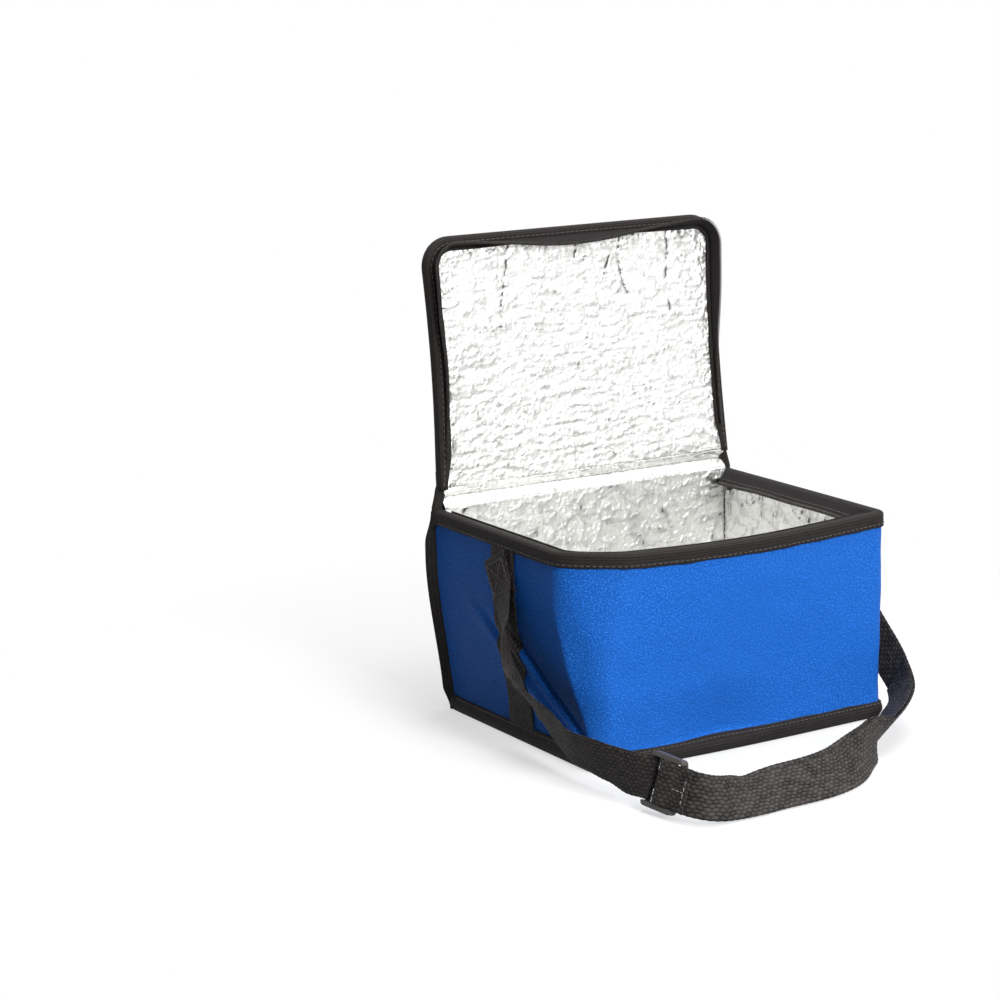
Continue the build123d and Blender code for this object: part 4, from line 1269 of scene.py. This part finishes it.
# The strap twists as it falls and turns its face to the front before the adjuster. In front it
# leans back on its lower edge, and falls forward where it turns round the bag's corner, so that
# it shows its other face as it rises.
fall_lean = between(
    along_fall,
    (0, 0.16, 0.32, 0.45, 0.56, 0.68, 0.8, 1),
    (0, -13, -41, -50, -44, -26, -16, -20),
)
run_lean = between(along_run, (0, 0.25, 0.55, 0.7, 1), (-20, -12, 8, RUN_LEAN, RUN_LEAN))
loop_lean = between(
    along_loop,
    (0, 0.05, 0.14, 0.3, 0.42, 0.5, 0.6, 0.7, 0.8, 1),
    (RUN_LEAN, RUN_LEAN, 49, 44, 12, -38, -44, -20, -16, 0),
)
SETTLED = 3 * MM             # the run sinks between the fall and the adjuster
straight[:, 2] -= SETTLED * (1 - ease(along_run, 0.45, 0.7))
fall[:, 2] -= SETTLED * ease(along_fall, 0.6, 1.0)
on_floor = ease(along_loop, 0.02, 0.1) * (1 - ease(along_loop, 0.5, 0.62))
resting = WEBBING_WIDTH / 2 * np.cos(np.radians(loop_lean)) + 1.2 * MM
loop[:, 2] += (resting - loop[:, 2]) * on_floor

# %% Strap layers
# The inner layer dips under the adjuster's centre bar, and past the adjuster its tail stands a
# little behind the outer layer, which begins behind the adjuster's last bar.
TAIL_END = 0.69
OUTER_START = 14.5           # from the adjuster's middle
PARTED_IN, PARTED_UP, PARTED_LEAN = 5.0, 0.4, 10
swing_out = 9.5 * np.sin(math.pi * np.clip(along_fall * 1.1, 0, 1)) ** 2
run_mm = along_run * RUN - STATION
over_bar = 0.9 * (1 - ease(run_mm, -9, -8)) * ease(run_mm, -34, -14)
dip = over_bar - 4.2 * ease(run_mm, -9.2, -6.6) * (1 - ease(run_mm, 2, 9))
parted = ease(along_loop, 0.07, 0.2) * (1 - ease(along_loop, 0.5, TAIL_END))


def layer_of(line, lean, shift):
    """A run's line moved through its face by `shift` mm, with the direction it faces."""
    outward = facing(line, lean)
    return line + outward * (np.broadcast_to(shift, len(line)) * MM)[:, None], outward


tail = slice(0, int(TAIL_END * len(loop)))
behind, _ = layer_of(loop, loop_lean, -LAYER * (1 - parted))
behind = behind + (-facing(loop) * PARTED_IN + np.array([0, 0, PARTED_UP])) * (parted * MM)[:, None]
inner = [
    layer_of(drop, 0, -LAYER),
    layer_of(fall, fall_lean, -LAYER + swing_out),
    layer_of(straight, run_lean, -LAYER + dip),
    (behind[tail], facing(loop, loop_lean - PARTED_LEAN * parted)[tail]),
]
beyond = run_mm > OUTER_START
outer = [layer_of(straight[beyond], RUN_LEAN, 0), layer_of(loop, loop_lean, 0), layer_of(climb, 0, 0)]
for name, runs, node in (
    ("strap_inner_layer", inner, "strap_main"),
    ("strap_outer_layer", outer, "strap_return"),
):
    line, outward = (np.concatenate([run[part][:-1] for run in runs]) for part in (0, 1))
    webbing(name, line, outward, "strap", node)


# %% Side patches and folded ends
# The patches are the same webbing sewn flat up the bag's sides, so they swell with the wall. Each
# end of the strap is turned under once where it is sewn, so it is twice as thick there.
def side_patch(name, middle_s):
    """Webbing on the wall: a closed ribbon whose every point is a place on the wall."""
    low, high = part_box(name)
    z = even(low.z - 4 * MM, high.z + 4 * MM, STEP)[:, None]
    across, height = ribbon_section(z, 0.8 * MM)
    points = on_wall(middle_s + across, z, 0.85 * MM + height)
    tube(f"{name}_webbing", points, (z, across), webbing_cloth, "bag", name, True)


for name, pivot, direction, side in ENDS:
    side_patch(f"strap_patch_{name}", side_end_y if side < 0 else wall_run - side_end_y)
    middle = np.array([side * (patch_high.x / MM + 0.95), 0, pivot_z])
    line = evenly((middle + direction * END * np.array([[-1], [1]])) * MM)
    webbing(f"strap_turned_end_{name}", line, (side, 0, 0), "strap", thickness=0.4 * MM)

# %% Sewn end round the adjuster's bar
# The strap's end comes up through the adjuster, round its centre bar and back, and is sewn.
HALF_BAR, WRAP, TAB, UNDER = 2.1, 1.5, 22, 8
outward = facing(straight, RUN_LEAN)[0]
station = run_start + heading * STATION
turn = np.linspace(-np.pi / 2, np.pi / 2, 14)
wrap = np.stack((-HALF_BAR - WRAP * np.cos(turn), WRAP + WRAP * np.sin(turn)), -1)
back_again = [[HALF_BAR, 2 * WRAP], [UNDER + HALF_BAR, LAYER], [TAB, LAYER]]
section = np.concatenate(([[UNDER, 0], [0, 0]], wrap, back_again))
line = evenly((station + section[:, :1] * heading + section[:, 1:] * outward) * MM, 0.7 * MM)
widthward = np.cross(heading, outward)
faces_out = np.cross(widthward, unit(np.gradient(line, axis=0)))
webbing("strap_sewn_end", line, faces_out, "adjuster", "strap_end_tab", 0.7 * MM)

# %% [markdown]
# ## The net pocket
# Warp-knitted net: round holes on a honeycomb, 4.2 mm apart. Each hole is a ring of twelve quads
# between the edge of its six-sided cell, which stands proud, and the hole's own edge.

# %% Net
pocket_low, pocket_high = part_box("mesh_pocket")
HOLE_PITCH = 4.2 * MM
HOLE_RADIUS = 1.45 * MM
NET_OUT, CELL_PROUD, NET_SLACK = 0.75 * MM, 0.28 * MM, 1.6 * MM
POINTS = 12                  # round each hole


def on_back(x, z, out):
    """A place on the back, by its distance from the middle, its height, and out from the cloth."""
    return on_strip(x / half_width, base_run + fold_run + z - FOLD_RADIUS, out)


row_pitch = HOLE_PITCH * math.sqrt(3) / 2
columns = int((pocket_high.x - pocket_low.x) / HOLE_PITCH)
rows = int((pocket_high.z - pocket_low.z) / row_pitch)
row, column = np.meshgrid(np.arange(rows), np.arange(columns), indexing="ij")
centre_x = ((column - columns / 2 + 0.25 + 0.5 * (row % 2)) * HOLE_PITCH).reshape(-1, 1)
centre_z = (pocket_low.z + (row + 0.5) * row_pitch).reshape(-1, 1)
step = np.arange(POINTS)
turn = step * math.pi / 6 + math.pi / 6
cell_edge = HOLE_PITCH / math.sqrt(3) * np.where(step % 2 == 0, 1, math.sqrt(3) / 2)
radius = np.stack((cell_edge, np.full(POINTS, HOLE_RADIUS)))
ring_x = np.clip(centre_x + (radius * np.cos(turn)).ravel(), pocket_low.x, pocket_high.x)
ring_z = centre_z + (radius * np.sin(turn)).ravel()
slack = NET_SLACK * ease(ring_z, pocket_low.z, pocket_high.z) * np.cos(np.pi * ring_x / (2.2 * pocket_high.x))
out = NET_OUT + slack + np.repeat((CELL_PROUD, 0.0), POINTS)
ahead = (step + 1) % POINTS
ring_faces = np.stack((step, ahead, POINTS + ahead, POINTS + step), -1)
faces = (ring_faces[None] + 2 * POINTS * np.arange(rows * columns)[:, None, None]).reshape(-1, 4)
points = on_back(ring_x, ring_z, out)
net = new_piece("pocket_net", points, faces, (ring_x, ring_z), net_cloth, "bag", "mesh_pocket")
weld = net.modifiers.new("weld", "WELD")
weld.merge_threshold = 0.02 * MM
thicken(net, 0.35 * MM)
print("net holes:", rows * columns)

# %% Pocket tapes
side_tape_low, side_tape_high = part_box("pocket_tape_left")
bottom_low, bottom_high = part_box("pocket_tape_bottom")
OVERHANG = 3 * MM
side_z = (side_tape_low.z - OVERHANG, side_tape_high.z + OVERHANG)
bottom_z = (bottom_low.z, bottom_high.z)


def pocket_tape(name, x_span, z_span, upright):
    """Flat tape on the back with thin edges; its ends overhang the seam a little."""
    x, z = np.meshgrid(even(*x_span, 1.0 * MM), even(*z_span, 1.0 * MM))
    across, span = (x, x_span) if upright else (z, z_span)
    q = (across - np.mean(span)) / (span[1] - span[0]) * 2
    out = 1.0 * MM + 0.7 * MM * (1 - q**8) + 0.25 * MM * noise(x / (11 * MM), z / (11 * MM), 120)
    lengths = (z, x) if upright else (x, z)
    sheet(f"{name}_cloth", on_back(x, z, out), lengths, grosgrain, "bag", name, True, 0.9 * MM)


pocket_tape("pocket_tape_left", (side_tape_low.x, side_tape_high.x), side_z, True)
pocket_tape("pocket_tape_right", (-side_tape_high.x, -side_tape_low.x), side_z, True)
pocket_tape("pocket_tape_bottom", (bottom_low.x, bottom_high.x), bottom_z, False)

# %% [markdown]
# ## Stitches
# A lockstitch shows as a row of short threads, each pulled into the cloth at both ends. One
# stitch is a small tube along the seam, highest at its middle. Rows are worked out together.


# %% Stitch rows
def stitch_row(name, path, outward, body, thread, pitch, length, radius=0.28 * MM):
    """Threads along a path that is given with the direction its surface looks. Each is a tube of
    five rings; it rises from the cloth at one hole and dives into it at the next."""
    run = run_along(path)
    count = max(1, int(run[-1] / pitch))
    middle = (np.arange(count) + 0.5) * run[-1] / count
    share = np.array([-1, -0.75, 0, 0.75, 1])
    at = middle[:, None] + share * length / 2
    line, face = points_at(at, run, path), unit(points_at(at, run, outward))
    side = np.cross(unit(np.gradient(line, axis=1)), face)
    line = line + face * (radius * (0.7 - 1.5 * share**2))[:, None]
    ring = np.arange(6) * math.pi / 3
    thick = (radius * np.array([0.6, 0.95, 1, 0.95, 0.6]))[:, None]
    points = line[:, :, None] + face[:, :, None] * (thick * np.cos(ring))[..., None]
    points = points + side[:, :, None] * (thick * np.sin(ring))[..., None]
    one = np.concatenate((grid_faces(5, 6, closed=True), end_caps(5, 6)))
    faces = (one[None] + 30 * np.arange(count)[:, None, None]).reshape(-1, 4)
    new_piece(name, points, faces, (at[..., None], radius * ring), thread, body)


def row_on(surface, name, body, s, across, off, pitch, length, looks=1, thread=black_thread):
    """A row of stitches on a surface that is a function of three lengths; `looks` is 1 where it is
    seen from the side to which the third length grows, and -1 from the other. Pitch and length are
    millimetres."""
    path = surface(s, across, off)
    outward = looks * unit(surface(s, across, off + 1 * MM) - path)
    stitch_row(name, path, outward, body, thread, pitch * MM, length * MM)


# %% Rim, base, zip and lid stitches
s = even(2 * MM, wall_run - 2 * MM, 2 * MM)
bead_line = base_edge_top - 1.3 * MM
bead_there = float(np.interp(-bead_line, -bead_up, bead_out))
row_on(on_wall, "stitches_rim_outside", "bag", s, rim_top - rim_leg + 1.7 * MM, tape_out, 3.9, 2.8)
row_on(on_wall, "stitches_rim_inside", "bag", s, rim_top - 6.2 * MM, tape_out - rim_span, 3.9, 2.8, -1)
row_on(on_wall, "stitches_base", "bag", s, bead_line, bead_there, 3.4, 2.5)
s = even(zip_start + 2 * MM, wall_run - zip_start - 2 * MM, 2 * MM)
path, above = (on_body_zip(s, tape_drop - 5 * MM, off) for off in (0.0, 1 * MM))
stitch_row("stitches_zip_of_body", path, above - path, "bag", black_thread, 3 * MM, 2.1 * MM)
s = even(binding_start + 3 * MM, lid_run - binding_start - 3 * MM, 2 * MM)
row_on(on_lid_edge, "stitches_lid_outside", "lid", s, 9.0 * MM * narrowing(s), -tape_out, 3.9, 2.8, -1)
row_on(on_lid_edge, "stitches_lid_inside", "lid", s, 3.0 * MM * narrowing(s), rim_span - tape_out, 3.9, 2.8)

# %% Pocket stitches
STITCHED_OUT = 1.7 * MM      # the face of the pocket's tape
z = even(side_z[0] + 2 * MM, side_z[1] - 2 * MM, 2 * MM)
outer_row = abs(side_tape_high.x) + (side_tape_high.x - side_tape_low.x) - 2 * MM
for name, side in SIDES:
    for edge, inwards in (("outer", 0.0), ("inner", 6.4 * MM)):
        x = np.full_like(z, side * (outer_row - inwards))
        row_on(on_back, f"stitches_pocket_{name}_{edge}", "bag", x, z, STITCHED_OUT, 4, 3)
x = even(bottom_low.x, bottom_high.x, 2 * MM)
z = np.full_like(x, np.mean(bottom_z))
row_on(on_back, "stitches_pocket_bottom", "bag", x, z, STITCHED_OUT, 4.6, 3.4, thread=grey_thread)


# %% Strap stitches
# A box with a cross holds each end of the strap. Two grey rows hold the end sewn round the
# adjuster: one across it, and one along it back towards the bar.
def straight_row(name, start, end, looks, body, thread):
    """A row of stitches from one point to another, in millimetres."""
    path = (start + (end - start) * np.linspace(0, 1, 30)[:, None]) * MM
    stitch_row(name, path, np.broadcast_to(looks, path.shape), body, thread, 3.2 * MM, 2.5 * MM, 0.3 * MM)


BOX = 10                     # half the side of the stitched box
for name, pivot, direction, side in ENDS:
    looks = np.array([side, 0.0, 0.0])
    middle = pivot + looks * (0.9 - (LAYER if side < 0 else 0))
    across = np.cross(direction, looks)
    corners = ((-1, -1), (1, -1), (1, 1), (-1, 1))
    corner = [middle + direction * BOX * i + across * BOX * j for i, j in corners]
    for index, (start, end) in enumerate(((0, 1), (1, 2), (2, 3), (3, 0), (0, 2), (1, 3))):
        row = f"stitches_strap_{name}_{index}"
        straight_row(row, corner[start], corner[end], looks, "strap", black_thread)
top = station + heading * (TAB - 3) + outward * (LAYER + 0.8)
for name, start, end in (
    ("across", top - widthward * 7, top + widthward * 9),
    ("along", top + widthward, top + widthward - heading * 10),
):
    straight_row(f"stitches_sewn_end_{name}", start, end, outward, "adjuster", grey_thread)

# %% Back corner seams of the lining
z = even(8 * MM, rim_top - 12 * MM, 2 * MM)
inner = half_width - foil_depth - 1.2 * MM
for name, side in SIDES:
    path = settle(np.full_like(z, side * inner), np.full_like(z, back_y - foil_depth - 1.4 * MM), z)
    looks = np.broadcast_to(unit(np.array([-side, -1.0, 0.0])), path.shape)
    stitch_row(f"stitches_lining_{name}", path, looks, "bag", black_thread, 4.2 * MM, 2.2 * MM, 0.3 * MM)

# %% [markdown]
# ## What is soft
# The foam sheets are padding. Cloth, film and net are sheets: each is given the size it was cut
# to, which is its own map of lengths, and the area that is left after its corners are rounded.

# %% Soft pieces
for name, held, rests_on in (
    ("cover_wall", "stretched", "foam_wall"),
    ("cover_base_and_back", "stretched", "foam_back"),
    ("cover_lid", "stretched", "foam_lid"),
    ("cover_hinge", "folded", "cover_base_and_back"),
    ("foil_wall", "gathered", "foam_wall"),
    ("foil_base_and_back", "gathered", "foam_back"),
    ("foil_lid", "gathered", "foam_lid"),
    ("foil_hinge", "folded", "foil_base_and_back"),
    ("pocket_net", "stretched", "cover_base_and_back"),
):
    piece = bpy.data.objects[name]
    lengths = np.empty(2 * len(piece.data.loops))
    piece.data.uv_layers["cloth"].data.foreach_get("uv", lengths)
    lengths = lengths.reshape(-1, 4, 2)
    corner = lengths - lengths[:, :1]
